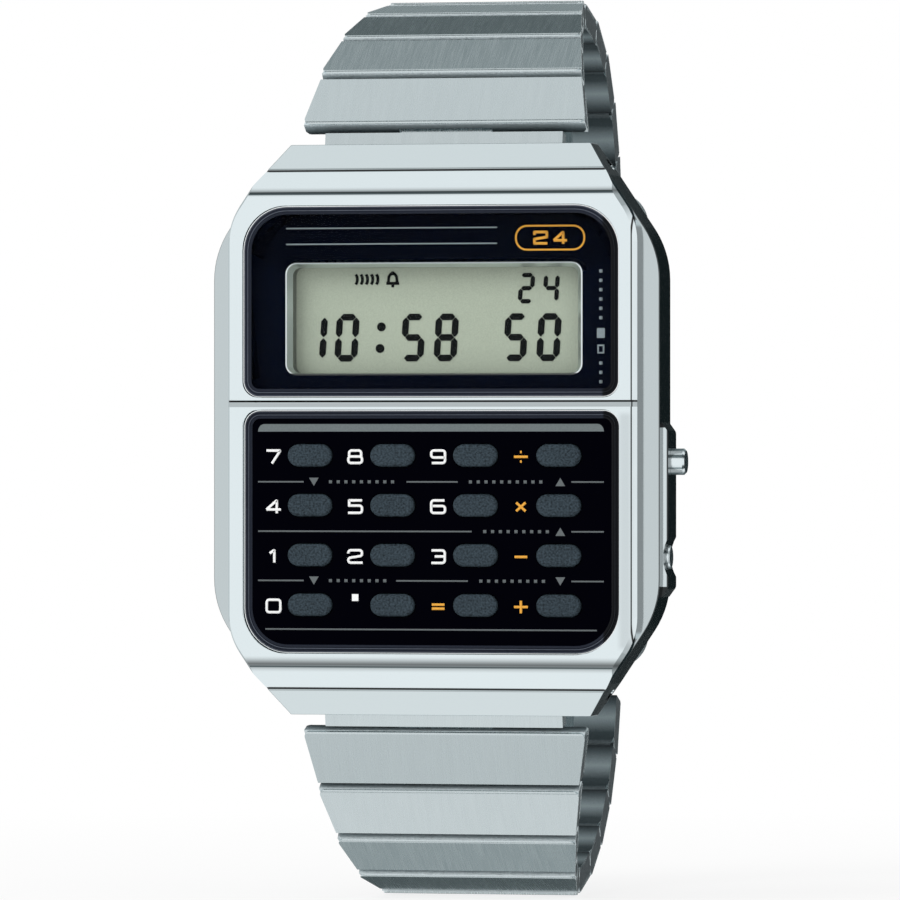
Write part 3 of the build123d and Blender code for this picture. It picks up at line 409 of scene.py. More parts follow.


# %% [markdown]
# The record gives each CAD piece a material slot, so one dictionary of finishes dresses them all.
# The polished case and bezel first get their painted shade. Each row is the share of brightness that
# is left, a softness, and bands along axes, in millimetres. Thin lines could be modelled as gaps, but
# a band of painted shade keeps the CAD shapes untouched.

# %% Painted shade on the case and the bezel
tier_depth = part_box("front_bezel")[1].y / mm
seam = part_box("front_bezel")[1].z / mm
groove = (1.7, 2.2)
tier_line, bezel_line, guard_front = 15.72, 15.37, 5.5
tier = ("Y", tier_depth - 0.06, tier_depth + 0.06)
guard = ("Y", -guard_front - 0.05, 0.05 - guard_front)
wall = ("Y", -7.5, -5.5)
# Painted shade: the front tier a little darker all over, and dark lines at the bezel's ends, along the tier's left
# edge and round the button guard.
case_painted_shade = (
    (0.82, 0.03, tier),
    (0.05, 0.02, ("Z", seam - 0.02, seam + 0.14)),  # round the bezel's ends
    (0.05, 0.02, ("Z", -seam - 0.14, -seam + 0.02)),
    (0.3, 0.03, ("X", -tier_line - 0.06, -tier_line + 0.03), tier),
    (0.05, 0.03, guard, ("Z", 0.14, 3.0)),  # round the button guard
    (0.05, 0.03, guard, ("Z", -15.0, -11.8)),
    (0.05, 0.05, guard, ("X", 17.6, 18.2)),
)
# Painted shade: a darker patch beside the keypad, the groove and the dark slit along it, soft dark bands where the
# face bends to its ends, a dark line before the side bevel and darker side walls.
bezel_painted_shade = (
    (0.82, 0.3, ("X", 14.5, 15.4), ("Z", -16.4, 1.2)),  # beside the keypad
    (0.6, 0.03, ("Z", *groove)),
    (0.01, 0.02, ("Z", groove[1] - 0.14, groove[1])),  # the slit along the groove
    (0.22, 0.28, ("Z", 17.78, 18.02)),  # where the face bends to its ends
    (0.14, 0.4, ("Z", -17.95, -17.42)),
    (0.01, 0.02, ("X", bezel_line, bezel_line + 0.1)),  # before the side bevel
    (0.16, 0.04, ("X", 15.6, 17.0), wall),  # the side walls below the bevel
    (0.16, 0.04, ("X", -17.0, -15.6), wall),
)

# %% One finish for each slot of the record
slot_finish = {
    "case_metal": polished("polished_case_steel", 0.1, case_steel, case_painted_shade, side_shade_share=0.2),
    "bezel_metal": polished("polished_bezel_steel", 0.06, steel, bezel_painted_shade),
    "button_metal": polished("polished_button_steel", 0.14),
    "crystal": clear_glass("front_crystal", 0.07),
    "mask_black": moulded("black_gloss_mask", linear(2, 6, 22), 0.12, 4.0, 0.0005, 0.012),
    "lcd_glass": moulded("display_glass", linear(190, 198, 181), 0.35, 9.0, 0.0005, 0.2),
    "silicone": moulded("grey_rubber", linear(96, 99, 104), 0.7),
    "panel_black": moulded("black_keypad_plate", linear(0, 0, 6), 0.24, 8.0, 0.0005, 0.012),
    "key_grey": moulded("textured_grey_keys", linear(62, 75, 84), 0.6, 6.5, 0.1, 0.12, low_share=0.3),
    "housing_plastic": moulded("black_housing_plastic", linear(30, 31, 34), 0.5),
    "board_green": moulded("green_circuit_board", linear(28, 84, 52), 0.45),
    "cell_metal": brushed("battery_steel", 0.3, (0.7, 0.71, 0.7, 1)),
    "spring_metal": brushed("spring_steel", 0.28),
    "buzzer_brass": brushed("buzzer_brass", 0.3, (0.72, 0.55, 0.26, 1)),
    "back_metal": brushed("brushed_back_steel", 0.3),
    "link_metal": brushed("brushed_link_steel", 0.26),
    "clasp_metal": brushed("brushed_clasp_steel", 0.28),
}
print("finishes", len(slot_finish))

# %% Dress the CAD nodes
node_slot = {row["node"]: row["material_slot"] for row in frame["record"]["subparts"]}
for name, slot in node_slot.items():
    for place in nodes[name].material_slots:
        place.material = slot_finish[slot]
print("nodes without a slot", [n for n, o in nodes.items() if not o.material_slots])

# %% [markdown]
# What repeats or follows a line is made by Geometry Nodes. A recipe is a node tree with named inputs
# for its sizes, so that one tree serves every print, ring or display segment. Each recipe draws its
# flat work in X and Y, turns it to face the front, and ends in Realize Instances and Set Material.
# The result is copied to a plain mesh, which rides on the watch like any other piece.

# %% Geometry recipes
class Recipe(Finish):
    """A Geometry Nodes tree with named inputs."""

    def __init__(self, name, **sizes):
        self.tree = bpy.data.node_groups.new(name, "GeometryNodeTree")
        face = self.tree.interface
        face.new_socket("Drawing", in_out="INPUT", socket_type="NodeSocketGeometry")
        for title, size in sizes.items():
            face.new_socket(title, in_out="INPUT", socket_type="NodeSocketFloat").default_value = size
        face.new_socket("Metal", in_out="INPUT", socket_type="NodeSocketMaterial")
        face.new_socket("Piece", in_out="OUTPUT", socket_type="NodeSocketGeometry")
        self.given = self.node("NodeGroupInput").socket.node.outputs

    def size(self, title):
        return Flow(self, self.given[title])

    def vector(self, x=0.0, y=0.0, z=0.0):
        return self.node("ShaderNodeCombineXYZ", {}, (x, y, z))

    def position(self):
        """Where each point is, as its X, Y and Z."""
        return self.split(self.node("GeometryNodeInputPosition"))

    def join(self, *parts):
        joined = self.node("GeometryNodeJoinGeometry")
        for part in parts:
            self.tree.links.new(part.socket, joined.socket.node.inputs[0])
        return joined

    def sweep(self, path, width, thickness):
        """A flat band with square edges along a planar path."""
        upright = self.node("GeometryNodeSetCurveNormal", {"mode": "Z_UP"}, {"Curve": path})
        section = self.node("GeometryNodeCurvePrimitiveQuadrilateral", {}, {
            "Width": width, "Height": thickness})
        return self.node("GeometryNodeCurveToMesh", {}, {
            "Curve": upright, "Profile Curve": section, "Fill Caps": True})

    def end(self, piece):
        """Ends the tree with real geometry in the metal given."""
        real = self.node("GeometryNodeRealizeInstances", {}, (piece,))
        self.node("NodeGroupOutput", {}, (self.node("GeometryNodeSetMaterial", {}, {
            "Geometry": real, "Material": self.size("Metal")}),))

    def deliver(self, piece):
        """Turns flat work to face the front, at the depth given, and ends the tree."""
        self.end(self.node("GeometryNodeTransform", {}, {
            "Geometry": piece, "Translation": self.vector(0.0, self.size("Depth"), 0.0),
            "Rotation": (math.pi / 2, 0, 0)}))


def grow(name, recipe, drawing, finish, sizes, body="case"):
    """Runs a recipe on a drawing and keeps the result as a plain piece."""
    draft = bpy.data.objects.new(name + "_draft", drawing)
    bpy.context.scene.collection.objects.link(draft)
    nodes_modifier = draft.modifiers.new("recipe", "NODES")
    nodes_modifier.node_group = recipe.tree
    for item in recipe.tree.interface.items_tree:
        if item.name in sizes:
            nodes_modifier[item.identifier] = sizes[item.name] * mm
        if item.name == "Metal":
            nodes_modifier[item.identifier] = finish
    shown_draft = draft.evaluated_get(bpy.context.evaluated_depsgraph_get())
    mesh = bpy.data.meshes.new_from_object(shown_draft)
    mesh.name = name
    piece = bpy.data.objects.new(name, mesh)
    bpy.context.scene.collection.objects.link(piece)
    bpy.data.objects.remove(draft)
    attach(piece, body)
    print(name, len(mesh.polygons), "faces")
    return piece


def lines(strokes, corners=()):
    """A drawing of open strokes and closed corners' outlines, from points in millimetres."""
    points, edges = [], []
    kinds = [(stroke, False) for stroke in strokes] + [(corner, True) for corner in corners]
    for number, (stroke, closed) in enumerate(kinds):
        first = len(points)
        level = (number % 5) * 0.002  # crossing strokes lie at different levels, so they don't flicker
        points += [(x * mm, y * mm, level * mm) for x, y in stroke]
        edges += [(first + i, first + i + 1) for i in range(len(stroke) - 1)]
        if closed:
            edges.append((first + len(stroke) - 1, first))
    mesh = bpy.data.meshes.new("drawing")
    mesh.from_pydata(points, edges, [])
    return mesh


# %% [markdown]
# A dark stepped ring with a bright rim closes each window. It is a moulded edge that runs right round
# the glass, so a curve with rounded corners is swept with a flat section, once for each step. The
# corners at the case's ends have a wide radius, and those beside the cross bar a small one.

# %% Ring recipe
ring = Recipe("window_ring", Depth=0, Width=0, Height=0, Outer=0, Inner=0, Band=0, Thickness=0)
outline = ring.node("GeometryNodeCurvePrimitiveQuadrilateral", {}, {
    "Width": ring.size("Width") - ring.size("Band"), "Height": ring.size("Height") - ring.size("Band")})
above = ring.maths("GREATER_THAN", ring.position()["Y"], 0.0)
corner = above * ring.size("Outer") + (1 - above) * ring.size("Inner") - ring.size("Band") * 0.5
rounded = ring.node("GeometryNodeFilletCurve", {"mode": "POLY"}, {
    "Curve": outline, "Radius": corner, "Count": 14})
ring.deliver(ring.sweep(rounded, ring.size("Band"), ring.size("Thickness")))

# %% Window rings
window_width = 29.0
display_low, display_high = 2.4, 16.9
keypad_low, keypad_high = -16.9, 1.5
outer_radius, inner_radius = 3.4, 1.25
crystal_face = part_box("display_crystal")[0].y / mm
panel_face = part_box("keypad_panel")[0].y / mm
ring_gap, ring_lift, ring_thickness = 0.06, 0.03, 0.06
# The rings are painted darker towards 3 o'clock: painted shade on their right side.
right_side_shade = ("X", 13.2, 16.0, 0.1)
ring_black = moulded("dark_window_ring", linear(34, 39, 51), 0.35, 5.0, 0.002, 0.12, shade_bands=right_side_shade)
# The lighter lines are painted highlights. The rim is polished metal that reflects the tent, but its white is
# brighter than the case's steel, so it is partly a painted highlight.
ring_line = moulded("ring_highlight", linear(84, 90, 102), 0.3, 5.0, 0.001, 0.15, shade_bands=right_side_shade)
ring_rim = polished("bright_window_rim", 0.1, (1.0, 1.0, 1.0, 1))
steps = (  # inset, breadth, depth, finish
    (0.0, 0.09, 0.0, ring_rim), (0.09, 0.07, -0.02, ring_line), (0.16, 0.17, 0.0, ring_black),
    (0.33, 0.07, -0.03, ring_line), (0.4, 0.24, 0.0, ring_black),
)
for window, low, high, top_radius, bottom_radius, face in (
        ("display", display_low, display_high, outer_radius, inner_radius, crystal_face),
        ("keypad", keypad_low, keypad_high, inner_radius, outer_radius, panel_face)):
    for number, (inset, breadth, depth, finish) in enumerate(steps):
        piece = grow(f"{window}_ring_{number + 1}", ring, lines([]), finish, {
            "Depth": face - ring_lift + depth, "Width": window_width - ring_gap - 2 * inset,
            "Height": high - low - ring_gap - 2 * inset, "Outer": top_radius - inset,
            "Inner": bottom_radius - inset, "Band": breadth, "Thickness": ring_thickness})
        piece.data.transform(Matrix.Translation((0, 0, (low + high) / 2 * mm)))

# %% [markdown]
# The prints on the keypad and on the display's mask are thin strokes of ink. Each sign is drawn as a
# few straight strokes, a recipe rounds their corners and gives them their width, and the same recipe
# makes digits, rules, outlines and rows of dots. The watch carries plain numbers and signs only.

# %% Ink recipe
ink = Recipe("ink_strokes", Depth=0, Weight=0, Bend=0, Thickness=0)
path = ink.node("GeometryNodeMeshToCurve", {}, (ink.size("Drawing"),))
bent = ink.node("GeometryNodeFilletCurve", {"mode": "POLY"}, {
    "Curve": path, "Radius": ink.size("Bend"), "Count": 6, "Limit Radius": True})
ink.deliver(ink.sweep(bent, ink.size("Weight"), ink.size("Thickness")))

# %% Digits and signs as strokes in a box one wide and one high
signs = {
    "0": ([], [[(-.5, -.5), (.5, -.5), (.5, .5), (-.5, .5)]]),
    "1": ([[(-.28, .24), (.06, .5), (.06, -.5)]], []),
    "2": ([[(-.5, .24), (-.5, .5), (.5, .5), (.5, .05), (-.5, -.12), (-.5, -.5), (.54, -.5)]], []),
    "3": ([[(-.48, .5), (.48, .5), (.48, -.5), (-.5, -.5)], [(-.25, .02), (.46, .02)]], []),
    "4": ([[(.24, -.54), (.24, .5), (-.52, -.24)], [(-.52, -.24), (.54, -.24)]], []),
    "5": ([[(-.5, .08), (.5, .08), (.5, -.5), (-.52, -.5)]], []),
    "flag": ([[(.5, .5), (-.44, .5), (-.44, .02)]], []),  # the sharp upper half of the 5
    "6": ([[(.46, .5), (-.5, .5), (-.5, -.5), (.5, -.5), (.5, .06), (-.46, .06)]], []),
    "7": ([[(-.52, .5), (.5, .5), (-.12, -.54)]], []),
    "8": ([[(-.44, .02), (-.44, .5), (.44, .5), (.44, .02)]],
          [[(-.5, -.5), (.5, -.5), (.5, .02), (-.5, .02)]]),
    "9": ([[(-.46, -.5), (.5, -.5), (.5, .5), (-.5, .5), (-.5, -.06), (.46, -.06)]], []),
    "divide": ([[(-.5, 0), (.5, 0)], [(-.06, .38), (.06, .38)], [(-.06, -.38), (.06, -.38)]], []),
    "multiply": ([[(-.34, -.34), (.34, .34)], [(-.34, .34), (.34, -.34)]], []),
    "minus": ([[(-.46, 0), (.46, 0)]], []),
    "equals": ([[(-.46, .16), (.46, .16)], [(-.46, -.16), (.46, -.16)]], []),
    "plus": ([[(-.5, 0), (.5, 0)], [(0, -.5), (0, .5)]], []),
}


def placed(sign, x, y, width, height):
    """A sign's open and closed strokes, moved and sized in millimetres."""
    return [[[(x + a * width, y + b * height) for a, b in stroke] for stroke in kind]
            for kind in signs[sign]]


def drawn(marks):
    """One drawing of many placed signs."""
    return lines([s for mark in marks for s in mark[0]], [c for mark in marks for c in mark[1]])


# %% Labels of the keys
label_columns = (-12.195, -5.865, 0.537, 6.894)
label_drop = 0.1
key_rows = [(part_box(node)[0].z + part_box(node)[1].z) / 2 / mm - label_drop
            for node in ("key_7", "key_4", "key_1", "key_0")]
label_width, label_height, label_weight = 1.06, 0.94, 0.19
print_lift, thin = 0.008, 0.02
panel_print = panel_face - print_lift
white_ink = moulded("white_ink", linear(254, 255, 255), 0.5, 12.0, 0.001, 0.1)
orange_ink = moulded("orange_ink", linear(244, 176, 72), 0.5, 12.0, 0.001, 0.1)


def write(name, drawing, finish, depth, weight, bend=0):
    """Strokes of ink at a depth, with their weight and the radius of their bends in millimetres."""
    grow(name, ink, drawing, finish, {
        "Depth": depth, "Weight": weight, "Bend": bend, "Thickness": thin})


labels = (("7", "8", "9", "divide"), ("4", "5", "6", "multiply"), ("1", "2", "3", "minus"),
          ("0", None, "equals", "plus"))
round_digits, sharp_digits, operators = [], [], []
for row, z in zip(labels, key_rows):
    for sign, x in zip(row, label_columns):
        if sign:
            group = operators if not sign.isdigit() else sharp_digits if sign in "147" else round_digits
            group.append(placed(sign, x, z, label_width, label_height))
            if sign == "5":
                sharp_digits.append(placed("flag", x, z, label_width, label_height))
for name, group, finish, bend in (
        ("round_digits", round_digits, white_ink, 0.2), ("sharp_digits", sharp_digits, white_ink, 0.03),
        ("key_operators", operators, orange_ink, 0)):
    write(name, drawn(group), finish, panel_print, label_weight, bend)

# %% Rules and dots between the rows of keys
rule_rows = (-3.94, -7.67, -11.39, -15.06)
rule_grey = moulded("grey_ink", linear(104, 110, 112), 0.5, 12.0, 0.001, 0.1)
left_end, right_end = -13.4, 13.24
rule_weight, dot_length, dot_pitch = 0.12, 0.24, 0.6
spans = (
    ((left_end, -9.86), (-1.9, 2.04), (10.76, right_end)), ((left_end, 3.11), (10.76, right_end)),
    ((left_end, -9.86), (-2.7, 2.82), (10.76, right_end)), ((-12.83, 12.7),),
)
rules = [[(start, z), (end, z)] for z, row in zip(rule_rows, spans) for start, end in row]
write("keypad_rules", lines(rules), rule_grey, panel_print, rule_weight)
dots = []
for start, end, row in ((-8.2, -2.5, 0), (2.6, 9.1, 0), (3.7, 9.1, 1), (-8.2, -3.3, 2), (3.4, 9.1, 2)):
    for i in range(int((end - start) / dot_pitch)):
        x = start + (i + 0.5) * dot_pitch
        dots.append([(x, rule_rows[row]), (x + dot_length, rule_rows[row])])
write("keypad_dots", lines(dots), rule_grey, panel_print, dot_length)

# %% [markdown]
# Arrows, squares and round dots are filled shapes of ink. A stroke cannot taper to a point, so each is
# a thin slab made from its corners. The helper below also keeps the display's frame, because both are
# plain meshes made from points.

# %% Solid prints
def kept(name, points, faces, finish, body="case"):
    """Keeps a piece made from points and faces, with its faces turned outward."""
    mesh = bpy.data.meshes.new(name)
    mesh.from_pydata(points, [], faces)
    mesh.materials.append(finish)
    turned_out = bmesh.new()
    turned_out.from_mesh(mesh)
    bmesh.ops.recalc_face_normals(turned_out, faces=turned_out.faces)
    turned_out.to_mesh(mesh)
    turned_out.free()
    piece = bpy.data.objects.new(name, mesh)
    bpy.context.scene.collection.objects.link(piece)
    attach(piece, body)
    print(name, len(faces), "faces")


def solid(name, shapes, depth, finish):
    """Flat filled shapes of ink, each from its corners in millimetres."""
    points, faces = [], []
    for shape in shapes:
        first, count = len(points), len(shape)
        for y in (depth - thin / 2, depth + thin / 2):
            points += [(x * mm, y * mm, z * mm) for x, z in shape]
        faces.append(tuple(first + i for i in range(count)))
        faces.append(tuple(first + count + i for i in reversed(range(count))))
        faces += [(first + i, first + count + i, first + count + (i + 1) % count, first + (i + 1) % count)
                  for i in range(count)]
    kept(name, points, faces, finish)


def box_shape(x, z, width, height):
    return [(x - width / 2, z - height / 2), (x + width / 2, z - height / 2),
            (x + width / 2, z + height / 2), (x - width / 2, z + height / 2)]


arrow_half, arrow_height = 0.37, 0.62
arrows = []
for x, row, up in ((-9.07, 0, -1), (9.91, 0, 1), (9.91, 1, 1), (-9.07, 2, -1), (9.91, 2, -1)):
    z, rise = rule_rows[row], up * arrow_height / 2
    arrows.append([(x - arrow_half, z - rise), (x + arrow_half, z - rise), (x, z + rise)])
solid("keypad_arrows", arrows, panel_print, rule_grey)
solid("decimal_square", [box_shape(-5.87, -12.66, 0.5, 0.52)], panel_print, white_ink)
bar_top, bar_bottom, bar_round, bar_steps = 0.42, -0.15, 0.5, 8
bar_grey = moulded("bar_ink", linear(112, 121, 123), 0.5, 8.0, 0.001, 0.1)
bar_bend = [(bar_round * (1 - math.cos(a)), bar_bottom + (bar_top - bar_bottom) * math.sin(a))
            for a in [math.pi / 2 * i / bar_steps for i in range(bar_steps + 1)]]
solid("keypad_bar", [[
    (left_end, bar_bottom), (right_end, bar_bottom), *[(right_end - inset, z) for inset, z in bar_bend],
    *[(left_end + inset, z) for inset, z in reversed(bar_bend)]]], panel_print, bar_grey)

# %% Prints on the display's mask
mask_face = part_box("display_mask")[0].y / mm
mask_print = mask_face - print_lift
silver_ink = moulded("silver_ink", linear(150, 162, 168), 0.45, 9.0, 0.001, 0.1)
pill = [(6.35, 13.5), (11.6, 13.5), (11.6, 15.3), (6.35, 15.3)]
pill_number = [placed(digit, x, 14.4, 0.95, 0.86) for digit, x in (("2", 8.25), ("4", 9.75))]
mark_column = 12.86
side_marks = [[(mark_column, z), (mark_column, z - dot_length)]
              for z in (12.0, 11.3, 10.6, 9.9, 9.2, 8.5, 5.1, 4.4, 3.7)]
write("number_pill", lines([], [pill]), orange_ink, mask_print, 0.14, 0.85)
write("pill_number", drawn(pill_number), orange_ink, mask_print, 0.2, 0.03)
write("mask_rules", lines([[(-11.4, z), (4.9, z)] for z in (15.2, 14.0)]), silver_ink, mask_print, 0.1)
write("side_dots", lines(side_marks), silver_ink, mask_print, dot_length)
write("side_outline", lines([], [box_shape(mark_column, 6.03, 0.42, 0.56)]), silver_ink, mask_print, 0.16)
solid("side_square", [box_shape(mark_column, 7.23, 0.6, 0.74)], mask_print, silver_ink)

# %% [markdown]
# The display shows leaning figures of seven bars. One bar is drawn once, as a long shape with cut
# corners, and instanced on a point for each bar that is lit. The points carry how far the bar is
# turned and stretched, and the whole figure is then sheared to lean.

# %% Segment recipe
bar_cut = 0.44
figures = Recipe("display_segments", Depth=0, Weight=0, Length=0, Lean=0, Base=0)
bar_curve = figures.node("GeometryNodeCurvePrimitiveQuadrilateral", {}, {
    "Width": figures.size("Length"), "Height": figures.size("Weight")})
cut = figures.node("GeometryNodeFilletCurve", {"mode": "POLY"}, {
    "Curve": bar_curve, "Radius": figures.size("Weight") * bar_cut, "Count": 1})
flat = figures.node("GeometryNodeFillCurve", {"mode": "NGONS"}, {"Curve": cut})
thick = figures.node("GeometryNodeExtrudeMesh", {}, {"Mesh": flat, "Offset Scale": thin * mm})
turned, stretched = (figures.node("GeometryNodeInputNamedAttribute", {"data_type": "FLOAT"}, {"Name": name})
                     for name in ("turned", "stretched"))
bars = figures.node("GeometryNodeInstanceOnPoints", {}, {
    "Points": figures.size("Drawing"), "Instance": thick,
    "Rotation": figures.vector(0.0, 0.0, turned), "Scale": figures.vector(stretched, 1.0, 1.0)})
single = figures.node("GeometryNodeRealizeInstances", {}, (bars,))
rise = figures.position()["Y"] - figures.size("Base")
leaning = figures.node("GeometryNodeSetPosition", {}, {
    "Geometry": single, "Offset": figures.vector(rise * figures.size("Lean"), 0.0, 0.0)})
figures.deliver(leaning)

# %% Figures on the display
lit_bars = {"0": "abcdef", "1": "bc", "2": "abdeg", "4": "bcfg", "5": "acdfg", "8": "abcdefg"}
bar_places = {  # across, up, turned
    "a": (0, 1, 0), "g": (0, 0, 0), "d": (0, -1, 0), "b": (1, 0.5, 1), "c": (1, -0.5, 1),
    "e": (-1, -0.5, 1), "f": (-1, 0.5, 1)}
bar_gap, flat_stretch, lean = 0.1, 0.92, 0.062
lcd_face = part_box("lcd_panel")[0].y / mm
lcd_lift = 0.02
lcd_print = lcd_face - lcd_lift
segment_black = moulded("display_segment", linear(2, 7, 9), 0.4, 9.0, 0.0005, 0.1)


def display_figures(name, text, columns, middle, width, height, weight):
    """A row of figures, with their width and height measured to the outside of the bars."""
    across, up = (width - weight) / 2, (height - weight) / 2
    points, turns, stretches = [], [], []
    for figure, x in zip(text, columns):
        for bar in lit_bars[figure]:
            side, level, quarter = bar_places[bar]
            points.append(((x + side * across) * mm, (middle + level * up) * mm, 0))
            turns.append(quarter * math.pi / 2)
            stretches.append((up - bar_gap) / (2 * across) if quarter else flat_stretch)
    mesh = bpy.data.meshes.new(name)
    mesh.from_pydata(points, [], [])
    for title, values in (("turned", turns), ("stretched", stretches)):
        mesh.attributes.new(title, "FLOAT", "POINT").data.foreach_set("value", values)
    grow(name, figures, mesh, segment_black, {
        "Depth": lcd_print, "Weight": weight, "Length": 2 * across, "Lean": lean / mm, "Base": middle})


def round_shape(x, z, radius):
    turns = [2 * math.pi * i / 24 for i in range(24)]
    return [(x + radius * math.cos(turn), z + radius * math.sin(turn)) for turn in turns]


display_figures("time_figures", "105850", (-9.55, -7.08, -1.95, 0.61, 5.97, 8.53), 6.96, 1.78, 3.6, 0.5)
display_figures("corner_figures", "24", (6.8, 8.7), 10.65, 1.22, 2.3, 0.33)
solid("colon_dots", [round_shape(-4.41, 7.77, 0.34), round_shape(-4.52, 6.14, 0.34)], lcd_print,
      segment_black)

# %% Signal bars and bell
bow_start, bow_pitch, bell_x, signal_level = -6.5, 0.4, -3.53, 11.36
bow = [(0.1, 0.38), (0.2, 0.2), (0.22, 0), (0.2, -0.2), (0.1, -0.38)]
bell = [
    [(-0.5, -0.3), (0.5, -0.3)],
    [(-0.34, -0.3), (-0.3, 0.2), (-0.14, 0.42), (0.14, 0.42), (0.3, 0.2), (0.34, -0.3)],
    [(0, 0.45), (0, 0.6)], [(0, -0.35), (0, -0.6)],
]
signal = [[(bow_start + i * bow_pitch + x, signal_level + y) for x, y in bow] for i in range(5)]
signal += [[(bell_x + x, signal_level + y) for x, y in stroke] for stroke in bell]
write("bars_and_bell", lines(signal), segment_black, lcd_print, 0.22, 0.05)

# %% [markdown]
# A bright bevelled frame leads from the mask down to the display's glass. It is a ring between two
# rounded outlines at different depths, so it is lofted: the same number of points round each outline,
# joined by faces.

# %% Display frame
def rounded_box(left, right, low, high, radius, depth):
    """Points round a box with rounded corners, at a depth in millimetres."""
    points, steps = [], 8
    for x, z, start in ((right - radius, high - radius, 0), (left + radius, high - radius, 1),
                        (left + radius, low + radius, 2), (right - radius, low + radius, 3)):
        for step in range(steps + 1):
            angle = (start + step / steps) * math.pi / 2
            points.append(((x + radius * math.cos(angle)) * mm, depth * mm,
                           (z + radius * math.sin(angle)) * mm))
    return points


def loft(name, rings, finish):
    """A closed band through rings of points, the last joined to the first."""
    count = len(rings[0])
    faces = [(r * count + i, r * count + (i + 1) % count,
              (r + 1) % len(rings) * count + (i + 1) % count, (r + 1) % len(rings) * count + i)
             for r in range(len(rings)) for i in range(count)]
    kept(name, [point for ring_points in rings for point in ring_points], faces, finish)


lcd_left, lcd_right, lcd_low, lcd_high = -11.35, 11.35, 4.2, 12.5
side_slope, top_slope, low_slope, lip = 0.34, 0.26, 0.06, 0.1
lcd_corner, glass_corner = 0.75, 0.6
wall_start = mask_face + 0.5
lower_lip = 4.05
# Painted shade: the frame's slope a little darker, its lower wall in the recess much darker and a dark line along
# its lower lip.
frame_silver = polished("display_frame_silver", 0.3, (0.82, 0.87, 0.9, 1), (
    (0.9, 0.06, ("Y", mask_face + 0.06, wall_start)), (0.25, 0.1, ("Y", wall_start + 0.1, lcd_face)),
    (0.1, 0.03, ("Z", lower_lip, lower_lip + 0.2))))
outer = (lcd_left - lip, lcd_right + lip, lcd_low - lip, lcd_high + lip, lcd_corner + lip)
edge = (lcd_left, lcd_right, lcd_low, lcd_high, lcd_corner)
inner = (lcd_left + side_slope, lcd_right - side_slope, lcd_low + low_slope, lcd_high - top_slope,
         glass_corner)
loft("display_frame", [rounded_box(*outline, depth) for outline, depth in (
    (outer, mask_face - 0.01), (edge, mask_face - 0.04), (inner, wall_start), (inner, lcd_face - 0.03),
    (outer, lcd_face - 0.03))], frame_silver)

# %% [markdown]
# Each bracelet link is a plate folded back under itself round its hinge. The fold has a grainy, duller
# nose than the brushed plate, and a smooth underside that rests on the wrist. Twenty links repeat
# it, so one recipe makes the fold from its section: it pulls the section sideways into a solid, tapers
# that to the link's width, rounds its nose corners and mirrors it. The height and run of the section
# are stored on the mesh, because the finish paints highlight, shade and reflection along them, from
# the nose's edge to the underside.

# %% Fold recipe
nose_reach, corner_level = 0.975, 0.15
fold = Recipe("link_fold", Near=0, Nose=0, Tail=0, Run=0, Corner=0)
pulled = fold.node("GeometryNodeExtrudeMesh", {"mode": "FACES"}, {
    "Mesh": fold.size("Drawing"), "Offset": (0, 0, 1), "Offset Scale": 1.0, "Individual": False})
noted = fold.join(pulled, fold.node("GeometryNodeFlipFaces", {}, (fold.size("Drawing"),)))
place = fold.position()
along, out, share = place["X"], place["Y"], place["Z"]
for title, value in (("section_height", out), ("section_run", along)):
    noted = fold.node("GeometryNodeStoreNamedAttribute", {"data_type": "FLOAT", "domain": "POINT"}, {
        "Geometry": noted, "Name": title, "Value": value / mm})
half_width = ((fold.size("Tail") - fold.size("Nose")) * ((along + nose_reach * mm) / fold.size("Run"))
              + fold.size("Nose"))
ahead = fold.maths("MAXIMUM", 0 - along, 0.0)
below = fold.maths("MAXIMUM", corner_level * mm - out, 0.0)
half_width = half_width - ahead * below / fold.size("Corner")
stretched = share * (half_width - fold.size("Near")) + fold.size("Near")
shaped = fold.node("GeometryNodeSetPosition", {}, {
    "Geometry": noted, "Position": fold.vector(along, out, stretched)})
reflected = fold.node("GeometryNodeTransform", {}, {"Geometry": shaped, "Scale": (1, 1, -1)})
both = fold.join(shaped, fold.node("GeometryNodeFlipFaces", {}, (reflected,)))
fold.end(fold.node("GeometryNodeMergeByDistance", {}, {"Geometry": both, "Distance": 0.001 * mm}))

# %% [markdown]
# The nose is left grainy by the bending tool, and the underside mirrors the skin in soft bands, which
# are painted reflection. The nose also gets a painted highlight along its edge and painted shade below
# it. Two materials would meet in a hard line, so one finish reads the stored height and run and moves
# from the grain to the bands through ramps of grey.

# %% Fold finish
def ramp(finish, stops, value):
    """A colour for each value, between stops given as 0 to 255."""
    return finish.node("ShaderNodeValToRGB", {
        "stops": [(place, linear(*colour)) for place, colour in stops]}, (value,))


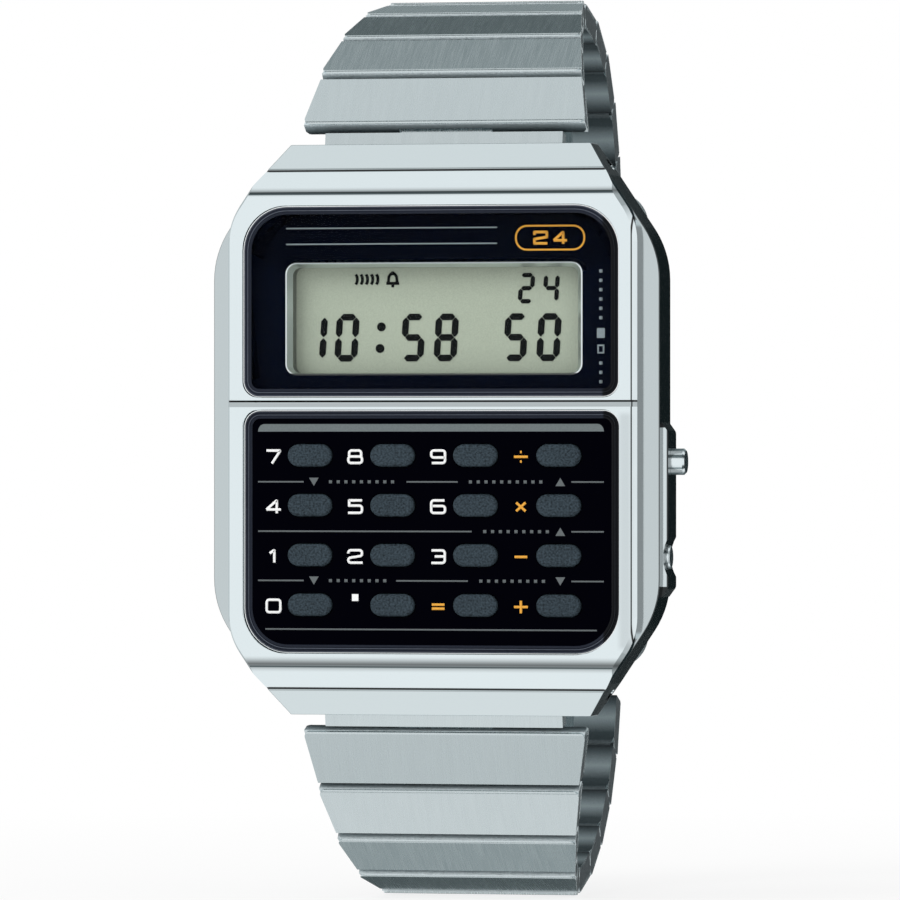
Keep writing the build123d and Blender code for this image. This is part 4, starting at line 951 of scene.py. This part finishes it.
def folded_steel():
    """Grainy at the nose and smooth below, by the height and the run that the recipe stored, with painted
    highlight, shade and reflection.
    """
    low_edge, height_span, run_span = 0.9, 1.85, 4.4
    finish = Finish("folded_nose_steel")
    height, run = (finish.node("ShaderNodeAttribute", {"attribute_name": name}, output="Fac")
                   for name in ("section_height", "section_run"))
    grain = finish.noise((5, 5, 5), 3.0, 0.7)
    # The nose's ramp paints a highlight along its top edge and shade towards the underside.
    nose = ramp(finish, (
        (0.2, (66, 78, 82)), (0.42, (52, 62, 66)), (0.6, (100, 112, 116)), (0.85, (166, 178, 182)),
        (0.97, (222, 232, 235))), (height + low_edge) / height_span + (grain - 0.5) * 0.16)
    # The underside's ramp paints soft bands of reflection and shade.
    underside_reflection = ramp(finish, (
        (0.0, (54, 64, 68)), (0.08, (132, 144, 148)), (0.17, (52, 64, 68)), (0.3, (58, 70, 74)),
        (0.58, (150, 164, 168)), (0.85, (80, 92, 96)), (0.98, (30, 40, 44))),
        (run + nose_reach) / run_span + (grain - 0.5) * 0.05)
    lower = finish.node("ShaderNodeMapRange", {}, {"Value": height, "From Min": -0.35, "From Max": -0.6})
    # Faces that look to the sides are painted darker, as shade.
    colour = finish.mix_colour(facing_sideways(finish), finish.mix_colour(lower, nose, underside_reflection),
                               linear(62, 72, 76))
    return finish.surface({
        "Base Color": colour, "Metallic": 0.45, "Roughness": (grain - 0.5) * 0.3 + 0.45,
        "Normal": finish.bump(grain, 0.05)})


# %% [markdown]
# A strand is a chain of ten links that get narrower away from the case. The folds could be laid out
# by hand, but the frame knows where each hinge is: a fold starts at its own hinge and points to the
# next one, so it stays right when the CAD changes. The last link of the 12 o'clock strand has no next
# hinge, because the loop is open there, so its direction is an angle.

# %% Folds of both strands
fold_bottom, nose_edge, plate_under, window_top = -0.865, 0.93, 0.76, 0.36
mouth, lip_mouth, tail_reach, tail_slant = -0.5, -0.9, 3.42, 0.06
nose_level, nose_steps = 0.11, 8
nose_round = [(-nose_reach * math.sin(a), nose_level - nose_reach * math.cos(a))
              for a in [math.pi / 2 * i / nose_steps for i in range(nose_steps + 1)]]
fold_section = [(mouth, nose_edge), (-nose_reach, nose_edge), *reversed(nose_round),
                (tail_reach, fold_bottom), (tail_reach - tail_slant, plate_under), (mouth, plate_under)]
lip_section = [(lip_mouth, nose_edge), (-nose_reach, nose_edge), (-nose_reach, window_top),
               (lip_mouth, window_top)]


def section(points):
    """A drawing with one face, from its corners in millimetres."""
    mesh = bpy.data.meshes.new("section")
    mesh.from_pydata([(x * mm, y * mm, 0) for x, y in points], [], [tuple(range(len(points)))])
    return mesh


joint_place = {j["child"]: Vector(j["pos_m"]) for j in frame["joints"] if "pos_m" in j}
open_end_angle = math.radians(168.5)
link_count, fold_run, tongue_half, side_gap = 10, 4.45, 3.65, 0.04
fold_corner, lip_corner = 1.6, 5.0
fold_metal = folded_steel()
for strand, side, last in (("12", 1, None), ("6", -1, joint_place["clasp_inner_leaf"])):
    for number in range(1, link_count + 1):
        body = f"link_{strand}_{number}"
        start = joint_place[body]
        end = joint_place.get(f"link_{strand}_{number + 1}", last)
        forward = Vector((0, math.sin(open_end_angle), side * math.cos(open_end_angle)))
        if end is not None:
            forward = (end - start).normalized()
        across = Vector((side, 0, 0))
        stand = Matrix((forward, across.cross(forward), across)).transposed().to_4x4()
        stand.translation = start
        nose_half, tail_half = (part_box(f"link_{strand}_{link}")[1].x / mm + side_gap
                                for link in (number, min(number + 1, link_count)))
        for kind, drawing, near, nose, tail, corner in (
                ("fold", fold_section, tongue_half, nose_half, tail_half, fold_corner),
                ("lip", lip_section, 0.0, tongue_half, tongue_half, lip_corner)):
            piece = grow(f"{body}_{kind}", fold, section(drawing), fold_metal, {
                "Near": near, "Nose": nose, "Tail": tail, "Run": fold_run, "Corner": corner},
                body=body)
            piece.data.transform(stand)

# %% [markdown]

# %% Import json
import json
